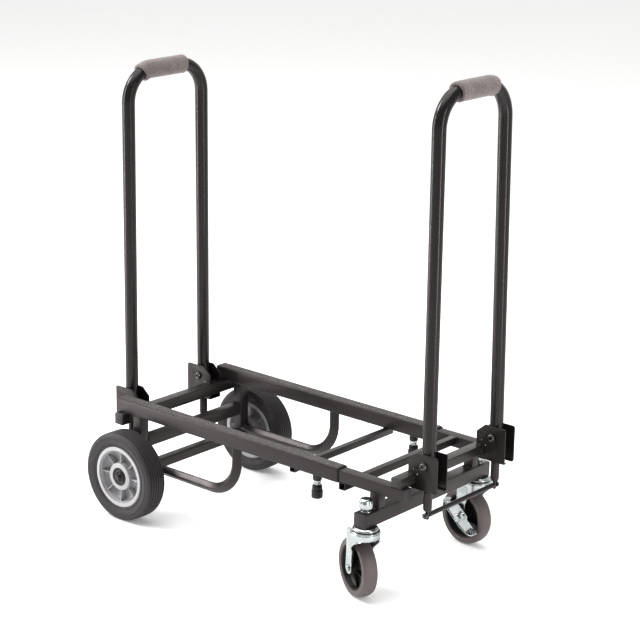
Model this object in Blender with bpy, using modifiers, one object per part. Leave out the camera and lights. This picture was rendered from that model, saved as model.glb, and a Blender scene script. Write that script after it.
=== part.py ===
"""Convertible hand truck: a telescoping deck of square tube that rolls on two
fixed wheels and two swivel casters, with a folding hoop handle at each end.

X runs along the deck with the casters at +X, Y runs across it, Z is up.
The origin is on the floor, midway between the two handles.
Units are metres.
"""
import math

import bmesh
import bpy
from mathutils import Matrix, Vector

SIDES = (("near", -1), ("far", 1))
ENDS = (("rear", -1), ("front", 1))

# Clearances and common stock
GAP = 0.0003
WALL = 0.0018
CORNER = 0.0022
TUBE = 0.025

# Deck: outer rails, and inner rails that slide inside them
RAIL = 0.030
DECK_HALF = 0.174
RAIL_TOP = 0.2555
RAIL_REAR = -0.4043
RAIL_FRONT = 0.2327
RAIL_WALL = 0.0020
RAIL_MIDDLE = DECK_HALF - RAIL / 2
RAIL_BOTTOM = RAIL_TOP - RAIL
TAPE = 0.0008
BUSH = 0.0030
INNER_REAR = -0.2543
INNER_FRONT = 0.4037
INNER_TOP = RAIL_TOP - (RAIL - TUBE) / 2
INNER_BOTTOM = INNER_TOP - TUBE
INNER_OUTSIDE = RAIL_MIDDLE + TUBE / 2
INDEX_HOLES = 4
INDEX_PITCH = 0.090

# Handles: hoops that pivot in brackets at each end
HANDLE_X = 0.4196
HANDLE_RADIUS = 0.0140
HANDLE_BEND = 0.068
HANDLE_HALF = {"rear": 0.1145, "front": 0.1130}
HANDLE_TOE = {"rear": 0.0025, "front": 0.0075}
HANDLE_LEAN = {"rear": -0.0020, "front": -0.0070}
HANDLE_TOP = {"rear": 0.972, "front": 1.0303}
PIVOT_Z = {"rear": 0.239, "front": 0.296}
GRIP_SPAN = {"rear": (-0.0755, 0.0550), "front": (-0.0583, 0.0665)}
GRIP_RADIUS = 0.0205
FOAM_CLEARANCE = 0.0016
LEG_BELOW_PIVOT = 0.044

# Brackets, measured from the pivot: inward is towards the deck's middle
PLATE = 0.0030
BRACKET_IN = 0.038
BRACKET_OUT = 0.034
BRACKET_UP = 0.025
BRACKET_DOWN = 0.051
BRACKET_CHAMFER = 0.020
BRACKET_ROUND = 0.006
BOLT = 0.0040
BOLT_HOLE = 0.0043
HEAD_RADIUS = 0.0088
HEAD_HEIGHT = 0.0060
CUT_PAST = 0.060

# Lock bars: a plunger in each leg, joined by a rod below
PLUNGER = 0.0090
PLUNGER_TOP = 0.012
PLUNGER_END = 0.098
PLUNGER_TIP = 0.116
TIP_RADIUS = 0.0036
LOCK_ROD = 0.0050
LOCK_ROD_DOWN = 0.1075
LOCK_TRAVEL = 0.036

# Cross members as (low x, high x, low z, high z, half length)
REAR_CROSS = (-0.4006, -0.3756, RAIL_BOTTOM - GAP - TUBE, RAIL_BOTTOM - GAP, 0.186)
FRONT_CROSS = (0.3717, 0.3967, INNER_TOP + GAP, INNER_TOP + 0.0206, INNER_OUTSIDE)
DECK_TIE = (0.0967, 0.1107, 0.2110, RAIL_BOTTOM - GAP, 0.162)
INNER_TIE = (0.2377, 0.2537, 0.2120, INNER_BOTTOM - GAP, INNER_OUTSIDE)
FLUSH_TIE = (0.2777, 0.2937, INNER_TOP - 0.016, INNER_TOP, INNER_OUTSIDE - TUBE - GAP)

# Rear wheels and the frame that carries their axle
AXLE_X = -0.3443
AXLE_RADIUS = 0.0080
WHEEL_RADIUS = 0.100
WHEEL_WIDTH = 0.050
WHEEL_MIDDLE = DECK_HALF + 0.0355
RIM_RADIUS = 0.069
HUB_RADIUS = 0.031
POST_HALF_X = 0.0120
POST_OUTSIDE = DECK_HALF
POST_INSIDE = DECK_HALF - TUBE
POST_BOTTOM = 0.086
MID_CROSS_BOTTOM = 0.1515
AXLE_TUBE = 0.022
LOOP_THICK = 0.018
LOOP_WIDE = 0.015
LOOP_BOTTOM = 0.104
LOOP_FRONT = -0.0453
LOOP_BEND = 0.077
LOOP_EDGE = 0.0016

# Telescoping lock: spring pins under the outer rails
PIN_X = 0.1697
PIN_RADIUS = 0.0040
PIN_HOLE = 0.0043
PIN_SHORT = 0.0004
COLLAR_RADIUS = 0.0095
COLLAR_BOTTOM = 0.2110
NUT_RADIUS = 0.0080
NUT_BOTTOM = 0.2010
KNOB_RADIUS = 0.0118
KNOB_TOP = 0.2000
KNOB_BOTTOM = 0.1725

# Caster beam, casters
BEAM_X = 0.3237
BEAM = 0.030
BEAM_TOP = 0.1925
BEAM_HALF = DECK_HALF + 0.0337
CASTER_POST = (0.3147, 0.3387, 0.1455, 0.1665)
KINGPIN_Y = DECK_HALF + 0.0145
KINGPIN_RADIUS = 0.0060
CASTER_RADIUS = 0.0625
CASTER_WIDTH = 0.034
CASTER_CORE = 0.048
CASTER_TRAIL = 0.030
CASTER_TURN = {"near": math.radians(-24.5), "far": math.radians(-7.5)}
CROWN_RADIUS = 0.0305
CROWN_TOP = BEAM_TOP - BEAM - GAP
CROWN_LOW = 0.1430
CASTER_BOLT = 0.0042
CASTER_BOLT_HOLE = 0.0046
FORK_HALF = 0.0225
FORK_PLATE = 0.0030

# Facets
WHEEL_STEPS = 28
CASTER_STEPS = 22
CROWN_STEPS = 16
SMALL_STEPS = 12
ARC_STEPS = 5
TUBE_FACETS = 4
GRIP_STATIONS = 12

MATERIALS = {
    "black_frame": ((0.060, 0.056, 0.055), 0.48, 0.3),
    "black_handle": ((0.035, 0.033, 0.033), 0.30, 0.3),
    "grip_tape": ((0.075, 0.072, 0.070), 0.95, 0.0),
    "grey_foam": ((0.290, 0.262, 0.250), 0.90, 0.0),
    "black_rubber": ((0.050, 0.048, 0.048), 0.75, 0.0),
    "caster_rubber": ((0.135, 0.122, 0.115), 0.60, 0.0),
    "grey_plastic": ((0.560, 0.560, 0.570), 0.45, 0.0),
    "black_plastic": ((0.020, 0.019, 0.019), 0.50, 0.0),
    "zinc": ((0.780, 0.800, 0.800), 0.25, 1.0),
    "dark_steel": ((0.080, 0.078, 0.078), 0.35, 0.9),
}


def clear_scene():
    """Remove whatever the file holds, so that the script can be run again."""
    for scene_object in list(bpy.data.objects):
        bpy.data.objects.remove(scene_object, do_unlink=True)


def make_collection(name):
    """A collection linked to the scene."""
    collection = bpy.data.collections.new(name)
    bpy.context.scene.collection.children.link(collection)
    return collection


def make_materials():
    """One Principled material for each finish."""
    made = {}
    for name, (colour, roughness, metallic) in MATERIALS.items():
        material = bpy.data.materials.new(name)
        material.use_nodes = True
        shader = material.node_tree.nodes["Principled BSDF"]
        shader.inputs["Base Color"].default_value = (*colour, 1.0)
        shader.inputs["Roughness"].default_value = roughness
        shader.inputs["Metallic"].default_value = metallic
        made[name] = material
    return made


clear_scene()
PARTS = make_collection("convertible_hand_truck")
CUTTERS = make_collection("cutters")
FINISH = make_materials()


# ---------------------------------------------------------------- helpers

def place(scene_object, collection):
    """Move an object into one collection only."""
    for other in list(scene_object.users_collection):
        other.objects.unlink(scene_object)
    collection.objects.link(scene_object)


def add_mesh_object(name, mesh, finish, matrix=Matrix()):
    """A part made from a mesh, placed by a matrix."""
    part = bpy.data.objects.new(name, mesh)
    part.matrix_world = matrix
    mesh.materials.clear()
    mesh.materials.append(FINISH[finish])
    PARTS.objects.link(part)
    return part


def shade_round(mesh):
    """Smooth shading that keeps the sharp edges of a turned or bent piece."""
    mesh.shade_smooth()
    mesh.set_sharp_from_angle(angle=math.radians(35))


def mesh_from_curve(curve, matrix=Matrix()):
    """Turn a curve into a welded mesh and remove the curve."""
    holder = bpy.data.objects.new("curve_holder", curve)
    holder.matrix_world = matrix
    PARTS.objects.link(holder)
    depsgraph = bpy.context.evaluated_depsgraph_get()
    mesh = bpy.data.meshes.new_from_object(holder.evaluated_get(depsgraph))
    bpy.data.objects.remove(holder, do_unlink=True)
    shell = bmesh.new()
    shell.from_mesh(mesh)
    bmesh.ops.remove_doubles(shell, verts=shell.verts, dist=1e-6)
    shell.to_mesh(mesh)
    shell.free()
    return mesh


def outline_solid(name, outlines, thickness, matrix, finish):
    """A flat outline, with any holes, extruded to a thickness."""
    curve = bpy.data.curves.new(name, "CURVE")
    curve.dimensions = "2D"
    curve.fill_mode = "BOTH"
    curve.extrude = thickness / 2
    for outline in outlines:
        spline = curve.splines.new("POLY")
        spline.points.add(len(outline) - 1)
        spline.use_cyclic_u = True
        for point, (u, v) in zip(spline.points, outline):
            point.co = (u, v, 0.0, 1.0)
    return add_mesh_object(name, mesh_from_curve(curve), finish, matrix)


def arc(centre, radius, start, end, steps):
    """Points along an arc between two angles in degrees."""
    points = []
    for step in range(steps + 1):
        angle = math.radians(start + (end - start) * step / steps)
        points.append((centre[0] + radius * math.cos(angle), centre[1] + radius * math.sin(angle)))
    return points


def rounded_rectangle(width, height, radius, steps=2):
    """A rectangle about the origin with rounded corners."""
    points = []
    for turn, (u, v) in enumerate(((1, 1), (-1, 1), (-1, -1), (1, -1))):
        centre = (u * (width / 2 - radius), v * (height / 2 - radius))
        points += arc(centre, radius, 90 * turn, 90 * turn + 90, steps)
    return points


def square_rectangle(width, height):
    """A plain rectangle about the origin."""
    return [(width / 2, height / 2), (-width / 2, height / 2),
            (-width / 2, -height / 2), (width / 2, -height / 2)]


def facing(axis, centre):
    """A matrix that turns an outline's normal to X, Y or Z, with Z as its up."""
    turns = {
        "X": Matrix(((0, 0, 1), (1, 0, 0), (0, 1, 0))),
        "Y": Matrix(((-1, 0, 0), (0, 0, 1), (0, 1, 0))),
        "Z": Matrix.Identity(3),
    }
    return Matrix.Translation(centre) @ turns[axis].to_4x4()


def square_tube(name, low, high, axis, wall, finish="black_frame"):
    """A hollow tube with rounded outer corners, between two corners of a box."""
    size = Vector(high) - Vector(low)
    centre = (Vector(high) + Vector(low)) / 2
    length = size["XYZ".index(axis)]
    width, height = {"X": (size.y, size.z), "Y": (size.x, size.z), "Z": (size.x, size.y)}[axis]
    outside = rounded_rectangle(width, height, CORNER)
    inside = square_rectangle(width - 2 * wall, height - 2 * wall)
    return outline_solid(name, (outside, inside), length, facing(axis, centre), finish)


def cross_tube(name, member):
    """A square tube across the deck from its (x, x, z, z, half length)."""
    low_x, high_x, low_z, high_z, half = member
    return square_tube(name, (low_x, -half, low_z), (high_x, half, high_z), "Y", WALL)


def turned(name, profile, matrix, steps, finish):
    """A profile of (radius, height) turned about the object's Z axis."""
    mesh = bpy.data.meshes.new(name)
    points = [(radius, 0.0, height) for radius, height in profile]
    closed = all(radius > 0 for radius, height in profile)
    edges = [(index, index + 1) for index in range(len(points) - 1)]
    if closed:
        edges.append((len(points) - 1, 0))
    mesh.from_pydata(points, edges, [])
    part = add_mesh_object(name, mesh, finish, matrix)
    screw = part.modifiers.new("turn", "SCREW")
    screw.steps = steps
    screw.render_steps = steps
    screw.use_merge_vertices = True
    screw.merge_threshold = 0.00001
    screw.use_smooth_shade = True
    return part


def across(centre):
    """A matrix that lays a turned part's axis along +Y."""
    return Matrix.Translation(centre) @ Matrix.Rotation(math.radians(-90), 4, "X")


def cylinder_cutter(name, centre, axis, radius, length):
    """A round cutter along X, Y or Z."""
    turn = {"X": (0, math.pi / 2, 0), "Y": (math.pi / 2, 0, 0), "Z": (0, 0, 0)}[axis]
    bpy.ops.mesh.primitive_cylinder_add(vertices=SMALL_STEPS, radius=radius, depth=length,
                                        location=centre, rotation=turn)
    return as_cutter(name)


def box_cutter(name, low, high):
    """A box cutter between two corners."""
    bpy.ops.mesh.primitive_cube_add(size=1.0, location=(Vector(low) + Vector(high)) / 2)
    bpy.context.object.scale = Vector(high) - Vector(low)
    return as_cutter(name)


def as_cutter(name, cutter=None):
    """Name an object as a cutter, put it away and keep it out of the model."""
    cutter = cutter or bpy.context.object
    cutter.name = name
    cutter.display_type = "WIRE"
    cutter.hide_render = True
    place(cutter, CUTTERS)
    return cutter


def combine(part, tool, operation="DIFFERENCE"):
    """Add a Boolean, exact by default."""
    boolean = part.modifiers.new(tool.name, "BOOLEAN")
    boolean.operation = operation
    boolean.object = tool
    return part


def make_pivot(name, location, turn=0.0, parent=None):
    """An empty on a joint's axis, which its moving pieces hang from."""
    empty = bpy.data.objects.new(name, None)
    empty.empty_display_size = 0.03
    empty.matrix_world = Matrix.Translation(location) @ Matrix.Rotation(turn, 4, "Z")
    PARTS.objects.link(empty)
    if parent:
        hang(parent, empty)
    return empty


def hang(pivot, *pieces):
    """Parent pieces that are already in place to a pivot."""
    bpy.context.view_layer.update()
    for piece in pieces:
        piece.parent = pivot
        piece.matrix_parent_inverse = pivot.matrix_world.inverted()


# ---------------------------------------------------------------- deck

def make_outer_rails():
    """Outer rails, the grip tape on them and the bush at each mouth."""
    for side, sign in SIDES:
        middle = sign * RAIL_MIDDLE
        rail = square_tube(f"outer_rail_{side}", (RAIL_REAR, middle - RAIL / 2, RAIL_BOTTOM),
                           (RAIL_FRONT, middle + RAIL / 2, RAIL_TOP), "X", RAIL_WALL)
        hole = cylinder_cutter(f"rail_pin_hole_{side}", (PIN_X, middle, RAIL_BOTTOM), "Z",
                               PIN_HOLE, RAIL_WALL * 3)
        combine(rail, hole)
        tape_length = RAIL_FRONT - RAIL_REAR
        outline_solid(f"grip_tape_{side}", (square_rectangle(tape_length, RAIL - 2 * CORNER),), TAPE,
                      facing("Z", ((RAIL_REAR + RAIL_FRONT) / 2, middle, RAIL_TOP + GAP + TAPE / 2)),
                      "grip_tape")
        bush_opening = TUBE + 2 * GAP
        outline_solid(f"rail_bush_{side}",
                      (rounded_rectangle(RAIL, RAIL, CORNER), square_rectangle(bush_opening, bush_opening)),
                      BUSH, facing("X", (RAIL_FRONT + GAP + BUSH / 2, middle, RAIL_TOP - RAIL / 2)),
                      "black_plastic")


def make_inner_rails(slide):
    """Inner rails with a row of index holes underneath for the spring pins."""
    for side, sign in SIDES:
        middle = sign * RAIL_MIDDLE
        rail = square_tube(f"inner_rail_{side}", (INNER_REAR, middle - TUBE / 2, INNER_BOTTOM),
                           (INNER_FRONT, middle + TUBE / 2, INNER_TOP), "X", WALL)
        for number in range(INDEX_HOLES):
            hole = cylinder_cutter(f"index_hole_{side}_{number}",
                                   (PIN_X - number * INDEX_PITCH, middle, INNER_BOTTOM), "Z",
                                   PIN_HOLE, WALL * 3)
            combine(rail, hole)
        hang(slide, rail)


def make_spring_pins():
    """Pull knobs under the outer rails, and the housings that hold them."""
    for side, sign in SIDES:
        foot = Vector((PIN_X, sign * RAIL_MIDDLE, 0.0))
        top = RAIL_BOTTOM - GAP
        turned(f"lock_housing_{side}",
               [(COLLAR_RADIUS, top), (COLLAR_RADIUS, COLLAR_BOTTOM), (NUT_RADIUS, COLLAR_BOTTOM),
                (NUT_RADIUS, NUT_BOTTOM), (PIN_HOLE, NUT_BOTTOM), (PIN_HOLE, top)],
               Matrix.Translation(foot), SMALL_STEPS, "dark_steel")
        nose = INNER_BOTTOM - PIN_SHORT
        knob = turned(f"lock_knob_{side}",
                      [(0.0, nose), (PIN_RADIUS, nose), (PIN_RADIUS, KNOB_TOP), (COLLAR_RADIUS, KNOB_TOP),
                       (KNOB_RADIUS, KNOB_TOP - 0.0025), (KNOB_RADIUS, KNOB_BOTTOM), (0.0, KNOB_BOTTOM)],
                      Matrix.Translation(foot), SMALL_STEPS, "black_plastic")
        pivot = make_pivot(f"lock_knob_{side}_slide", (PIN_X, sign * RAIL_MIDDLE, nose))
        hang(pivot, knob)


# ---------------------------------------------------------------- rear frame

def make_rear_frame():
    """Posts, cross tubes and the side loops that form the rear undercarriage."""
    cross_tube("rear_cross_tube", REAR_CROSS)
    cross_tube("deck_tie_tube", DECK_TIE)
    reach = POST_INSIDE - GAP
    cross_tube("mid_cross_tube", (AXLE_X - POST_HALF_X, AXLE_X + POST_HALF_X, MID_CROSS_BOTTOM,
                                  MID_CROSS_BOTTOM + TUBE, reach))
    cross_tube("axle_tube", (AXLE_X - AXLE_TUBE / 2, AXLE_X + AXLE_TUBE / 2,
                             WHEEL_RADIUS - AXLE_TUBE / 2, WHEEL_RADIUS + AXLE_TUBE / 2, reach))
    for side, sign in SIDES:
        low_y, high_y = sorted((sign * POST_INSIDE, sign * POST_OUTSIDE))
        post = square_tube(f"rear_post_{side}", (AXLE_X - POST_HALF_X, low_y, POST_BOTTOM),
                           (AXLE_X + POST_HALF_X, high_y, RAIL_BOTTOM - GAP), "Z", WALL)
        hole = cylinder_cutter(f"post_axle_hole_{side}", (AXLE_X, sign * RAIL_MIDDLE, WHEEL_RADIUS),
                               "Y", AXLE_RADIUS + GAP, 2 * RAIL)
        combine(post, hole)
        make_side_loop(side, sign)


def make_side_loop(side, sign):
    """A flat-sided bar that runs forward from the post and curves up to the rail."""
    back = AXLE_X + POST_HALF_X + GAP
    centre = (LOOP_FRONT - LOOP_BEND, LOOP_BOTTOM + LOOP_BEND)
    top = RAIL_BOTTOM - GAP
    outer = arc(centre, LOOP_BEND, 270, 360, ARC_STEPS)
    inner = arc(centre, LOOP_BEND - LOOP_THICK, 360, 270, ARC_STEPS)
    outline = [(back, LOOP_BOTTOM)] + outer + [(LOOP_FRONT, top), (LOOP_FRONT - LOOP_THICK, top)]
    outline += inner + [(back, LOOP_BOTTOM + LOOP_THICK)]
    flipped = [(-x, z) for x, z in reversed(outline)]
    loop = outline_solid(f"side_loop_{side}", (flipped,), LOOP_WIDE,
                         facing("Y", (0.0, sign * RAIL_MIDDLE, 0.0)), "black_frame")
    bevel = loop.modifiers.new("rounded edges", "BEVEL")
    bevel.width = LOOP_EDGE
    bevel.segments = 1
    bevel.angle_limit = math.radians(50)


def make_rear_wheels():
    """The axle, its end nuts and the two wheels that turn on it."""
    half_axle = WHEEL_MIDDLE + WHEEL_WIDTH / 2 - 0.004
    turned("rear_axle", [(0.0, half_axle), (AXLE_RADIUS, half_axle), (AXLE_RADIUS, -half_axle),
                         (0.0, -half_axle)], across((AXLE_X, 0.0, WHEEL_RADIUS)), SMALL_STEPS, "dark_steel")
    half = WHEEL_WIDTH / 2
    tyre = [(RIM_RADIUS + GAP, half - 0.0020), (0.0900, half), (0.0965, half - 0.0040),
            (WHEEL_RADIUS, half - 0.0110), (WHEEL_RADIUS, 0.0110 - half), (0.0965, 0.0040 - half),
            (0.0900, -half), (RIM_RADIUS + GAP, 0.0020 - half)]
    bore = AXLE_RADIUS + GAP
    rim = [(RIM_RADIUS, half - 0.0030), (RIM_RADIUS, 0.0030 - half), (0.0580, 0.0030 - half),
           (0.0560, -0.0050), (HUB_RADIUS, -0.0050), (HUB_RADIUS - 0.0010, -0.0345), (bore, -0.0345),
           (bore, half - 0.0055), (HUB_RADIUS, half - 0.0055), (HUB_RADIUS, 0.0050), (0.0560, 0.0050),
           (0.0580, half - 0.0030)]
    for side, sign in SIDES:
        centre = (AXLE_X, sign * WHEEL_MIDDLE, WHEEL_RADIUS)
        outward = across(centre) if sign > 0 else across(centre) @ Matrix.Rotation(math.pi, 4, "X")
        pivot = make_pivot(f"rear_wheel_{side}_axis", centre)
        hang(pivot, turned(f"rear_tyre_{side}", tyre, outward, WHEEL_STEPS, "black_rubber"),
             turned(f"rear_rim_{side}", rim, outward, WHEEL_STEPS, "grey_plastic"))
        face = half_axle - WHEEL_MIDDLE
        turned(f"axle_nut_{side}", [(0.0, face + 0.0075), (0.0070, face + 0.0075), (0.0100, face + 0.0050),
                                    (0.0110, face + GAP), (0.0, face + GAP)],
               outward, SMALL_STEPS, "dark_steel")


# ---------------------------------------------------------------- front frame

def make_front_frame(slide):
    """Everything welded to the inner rails: ties, posts and the caster beam."""
    pieces = [cross_tube("front_cross_tube", FRONT_CROSS), cross_tube("inner_tie_tube", INNER_TIE),
              cross_tube("flush_tie_tube", FLUSH_TIE)]
    beam = square_tube("caster_beam", (BEAM_X - BEAM / 2, -BEAM_HALF, BEAM_TOP - BEAM),
                       (BEAM_X + BEAM / 2, BEAM_HALF, BEAM_TOP), "Y", RAIL_WALL)
    pieces.append(beam)
    low_x, high_x, inside, outside = CASTER_POST
    for side, sign in SIDES:
        low_y, high_y = sorted((sign * inside, sign * outside))
        pieces.append(square_tube(f"caster_post_{side}", (low_x, low_y, BEAM_TOP + GAP),
                                  (high_x, high_y, INNER_BOTTOM - GAP), "Z", WALL))
        hole = cylinder_cutter(f"kingpin_hole_{side}", (BEAM_X, sign * KINGPIN_Y, BEAM_TOP - BEAM / 2),
                               "Z", KINGPIN_RADIUS + GAP, 2 * BEAM)
        combine(beam, hole)
        pieces.append(make_kingpin(side, sign))
    hang(slide, *pieces)


def make_kingpin(side, sign):
    """A domed nut and washer on top of the beam, with the pin that hangs below."""
    low = CROWN_TOP - 0.010
    seat = BEAM_TOP + GAP
    dome = arc((0.0, seat + 0.0150), 0.0125, 75, 15, 2)
    profile = [(0.0, seat + 0.0275)] + dome + [(0.0140, seat + 0.0120), (0.0140, seat + 0.0030),
                                               (0.0155, seat + 0.0030), (0.0155, seat),
                                               (KINGPIN_RADIUS, seat), (KINGPIN_RADIUS, low), (0.0, low)]
    return turned(f"kingpin_{side}", profile, Matrix.Translation((BEAM_X, sign * KINGPIN_Y, 0.0)),
                  SMALL_STEPS, "zinc")


# ---------------------------------------------------------------- casters

def make_casters(slide):
    """Two swivel casters; the far one has a brake lever."""
    for side, sign in SIDES:
        swivel = make_pivot(f"caster_{side}_swivel", (BEAM_X, sign * KINGPIN_Y, 0.0),
                            CASTER_TURN[side], slide)
        hang(swivel, make_fork(side, swivel.matrix_world.copy()))
        wheel_centre = Matrix.Translation((-CASTER_TRAIL, 0.0, CASTER_RADIUS))
        hub = swivel.matrix_world @ wheel_centre
        spin = make_pivot(f"caster_{side}_axle", hub.translation, CASTER_TURN[side], swivel)
        hang(spin, *make_caster_wheel(side, hub))
        bolt_half = FORK_HALF + 0.0035
        bolt = turned(f"caster_axle_{side}",
                      [(0.0, bolt_half), (0.0060, bolt_half), (0.0065, FORK_HALF + GAP),
                       (CASTER_BOLT, FORK_HALF + GAP), (CASTER_BOLT, -FORK_HALF - GAP),
                       (0.0065, -FORK_HALF - GAP), (0.0060, -bolt_half), (0.0, -bolt_half)],
                      hub @ Matrix.Rotation(math.radians(-90), 4, "X"), SMALL_STEPS, "zinc")
        hang(swivel, bolt)
        if side == "far":
            lever = make_pivot("brake_lever_axis", hub.translation, CASTER_TURN[side], swivel)
            hang(lever, make_brake_lever(hub))


def make_fork(side, frame):
    """Crown rings, top plate and two curved legs, joined into one pressing."""
    name = f"caster_fork_{side}"
    bore = KINGPIN_RADIUS + GAP
    fork = turned(name, [(0.0230, CROWN_TOP), (0.0260, CROWN_TOP - 0.0030), (0.0260, CROWN_TOP - 0.0060),
                         (CROWN_RADIUS, CROWN_TOP - 0.0075), (CROWN_RADIUS, CROWN_LOW),
                         (0.0240, CROWN_LOW - 0.0060), (bore, CROWN_LOW - 0.0060), (bore, CROWN_TOP)],
                  frame, CROWN_STEPS, "zinc")
    shoulder = CROWN_LOW + 0.0065
    leg = [(0.0180, shoulder), (-0.0340, shoulder), (-0.0400, shoulder - 0.0060), (-0.0410, 0.0950)]
    leg += arc((-CASTER_TRAIL, CASTER_RADIUS), 0.0125, 180, 360, 6)
    leg += [(-0.0145, 0.0960), (-0.0030, 0.1145), (0.0120, 0.1300), (0.0180, CROWN_LOW - 0.0060)]
    flipped = [(-x, z) for x, z in reversed(leg)]
    for label, sign in SIDES:
        middle = sign * (FORK_HALF - FORK_PLATE / 2)
        plate = outline_solid(f"{name}_leg_{label}", (flipped,), FORK_PLATE,
                              frame @ facing("Y", (0.0, middle, 0.0)), "zinc")
        hole = cylinder_cutter(f"{name}_hole_{label}", (0.0, 0.0, 0.0), "Y", CASTER_BOLT_HOLE,
                               4 * FORK_PLATE)
        hole.matrix_world = frame @ Matrix.Translation((-CASTER_TRAIL, middle, CASTER_RADIUS)) @ (
            Matrix.Rotation(math.radians(90), 4, "X"))
        combine(plate, hole)
        combine(fork, as_cutter(plate.name, plate), "UNION")
    top = outline_solid(f"{name}_top", (rounded_rectangle(0.040, 2 * FORK_HALF - 0.0002, 0.004),), 0.0035,
                        frame @ Matrix.Translation((-0.018, 0.0, CROWN_LOW + 0.0045)), "zinc")
    combine(top, cylinder_cutter(f"{name}_bore", frame.translation + Vector((0.0, 0.0, CROWN_LOW)), "Z",
                                 bore, CUT_PAST))
    combine(fork, as_cutter(top.name, top), "UNION")
    return fork


def make_caster_wheel(side, hub):
    """A rubber tread on a dished plastic core."""
    half = CASTER_WIDTH / 2
    axle = hub @ Matrix.Rotation(math.radians(-90), 4, "X")
    inner = CASTER_CORE + GAP
    tread = [(inner, half - 0.0020), (0.0590, half - 0.0030), (CASTER_RADIUS, half - 0.0085),
             (CASTER_RADIUS, 0.0085 - half), (0.0590, 0.0030 - half), (inner, 0.0020 - half)]
    core = [(CASTER_CORE, half - 0.0030), (CASTER_CORE, 0.0030 - half), (0.0430, 0.0030 - half),
            (0.0410, -0.0060), (0.0140, -0.0060), (0.0130, -half - 0.0012),
            (CASTER_BOLT_HOLE, -half - 0.0012), (CASTER_BOLT_HOLE, half + 0.0012), (0.0130, half + 0.0012),
            (0.0140, 0.0060), (0.0410, 0.0060), (0.0430, half - 0.0030)]
    return (turned(f"caster_tread_{side}", tread, axle, CASTER_STEPS, "caster_rubber"),
            turned(f"caster_core_{side}", core, axle, CASTER_STEPS, "black_plastic"))


def make_brake_lever(hub):
    """A rocking lever on the axle, on the fork's outer face towards the deck."""
    plate = 0.0025
    outer_face = -(FORK_HALF + 0.0042 + plate)
    outline = [(-0.0360, 0.0270), (-0.0270, 0.0080), (-0.0120, -0.0040), (0.0085, -0.0190),
               (0.0310, -0.0295), (0.0430, -0.0295), (0.0600, -0.0180), (0.0290, 0.0055),
               (0.0290, 0.0130), (0.0050, 0.0305), (-0.0130, 0.0350)]
    flipped = [(-x, z) for x, z in outline]
    lever = outline_solid("brake_lever", (flipped,), plate,
                          hub @ facing("Y", (0.0, outer_face + plate / 2, 0.0)), "zinc")
    foot = outline_solid("brake_foot", (rounded_rectangle(0.028, 0.016, 0.004),), plate,
                         hub @ Matrix.Translation((0.0410, outer_face - 0.0040, -0.0225)) @ (
                             Matrix.Rotation(math.radians(-30), 4, "Y")), "zinc")
    combine(lever, as_cutter(foot.name, foot), "UNION")
    return lever


# ---------------------------------------------------------------- handles

def hoop_height(y, straight, top):
    """Height of a hoop's centre line at y, on its level bar and its two bends."""
    beyond = max(0.0, abs(y) - straight)
    return top - HANDLE_BEND + math.sqrt(max(0.0, HANDLE_BEND ** 2 - beyond ** 2))


def leaned(end, points):
    """An upright hoop's points, drawn together and tilted along X towards its top."""
    made = []
    for x, y, z in points:
        rise = (z - PIVOT_Z[end]) / (HANDLE_TOP[end] - PIVOT_Z[end])
        made.append((x + HANDLE_LEAN[end] * rise, y * (1 - HANDLE_TOE[end] * rise / HANDLE_HALF[end]), z))
    return made


def swept_shell(name, points, radius, thickness, finish):
    """A round tube along a path of points, hollow and open at both ends."""
    curve = bpy.data.curves.new(name, "CURVE")
    curve.dimensions = "3D"
    curve.bevel_depth = radius
    curve.bevel_resolution = TUBE_FACETS
    curve.use_fill_caps = False
    spline = curve.splines.new("POLY")
    spline.points.add(len(points) - 1)
    for point, place_at in zip(spline.points, points):
        point.co = (*place_at, 1.0)
    mesh = mesh_from_curve(curve)
    shade_round(mesh)
    part = add_mesh_object(name, mesh, finish)
    solidify = part.modifiers.new("wall", "SOLIDIFY")
    solidify.thickness = thickness
    solidify.offset = -1
    solidify.use_even_offset = True
    return part


def make_handle(end, outward, parent):
    """A hoop handle, its foam grip and its lock bar, on one pivot."""
    x = outward * HANDLE_X
    half = HANDLE_HALF[end]
    top = HANDLE_TOP[end]
    pivot_z = PIVOT_Z[end]
    straight = half - HANDLE_BEND
    bend_z = top - HANDLE_BEND
    near_bend = [(x, u, v) for u, v in arc((-straight, bend_z), HANDLE_BEND, 180, 90, ARC_STEPS)]
    far_bend = [(x, u, v) for u, v in arc((straight, bend_z), HANDLE_BEND, 90, 0, ARC_STEPS)]
    foot = pivot_z - LEG_BELOW_PIVOT
    path = [(x, -half, foot)] + near_bend + far_bend + [(x, half, foot)]
    tube = swept_shell(f"{end}_handle_tube", leaned(end, path), HANDLE_RADIUS, WALL, "black_handle")
    for side, sign in SIDES:
        combine(tube, cylinder_cutter(f"{end}_leg_hole_{side}", (x, sign * half, pivot_z), "Y",
                                      BOLT_HOLE, 0.04))
    low_y, high_y = GRIP_SPAN[end]
    stations = [low_y + (high_y - low_y) * step / GRIP_STATIONS for step in range(GRIP_STATIONS + 1)]
    foam_path = [(x, y, hoop_height(y, straight, top)) for y in stations]
    foam_wall = GRIP_RADIUS - HANDLE_RADIUS - FOAM_CLEARANCE
    foam = swept_shell(f"{end}_grip", leaned(end, foam_path), GRIP_RADIUS, foam_wall, "grey_foam")
    pivot = make_pivot(f"{end}_handle_pivot", (x, 0.0, pivot_z), 0.0, parent)
    hang(pivot, tube, foam)
    slide = make_pivot(f"{end}_lock_slide", (x, 0.0, pivot_z - LOCK_ROD_DOWN), 0.0, pivot)
    hang(slide, make_lock_bar(end, x, half, pivot_z))


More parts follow.
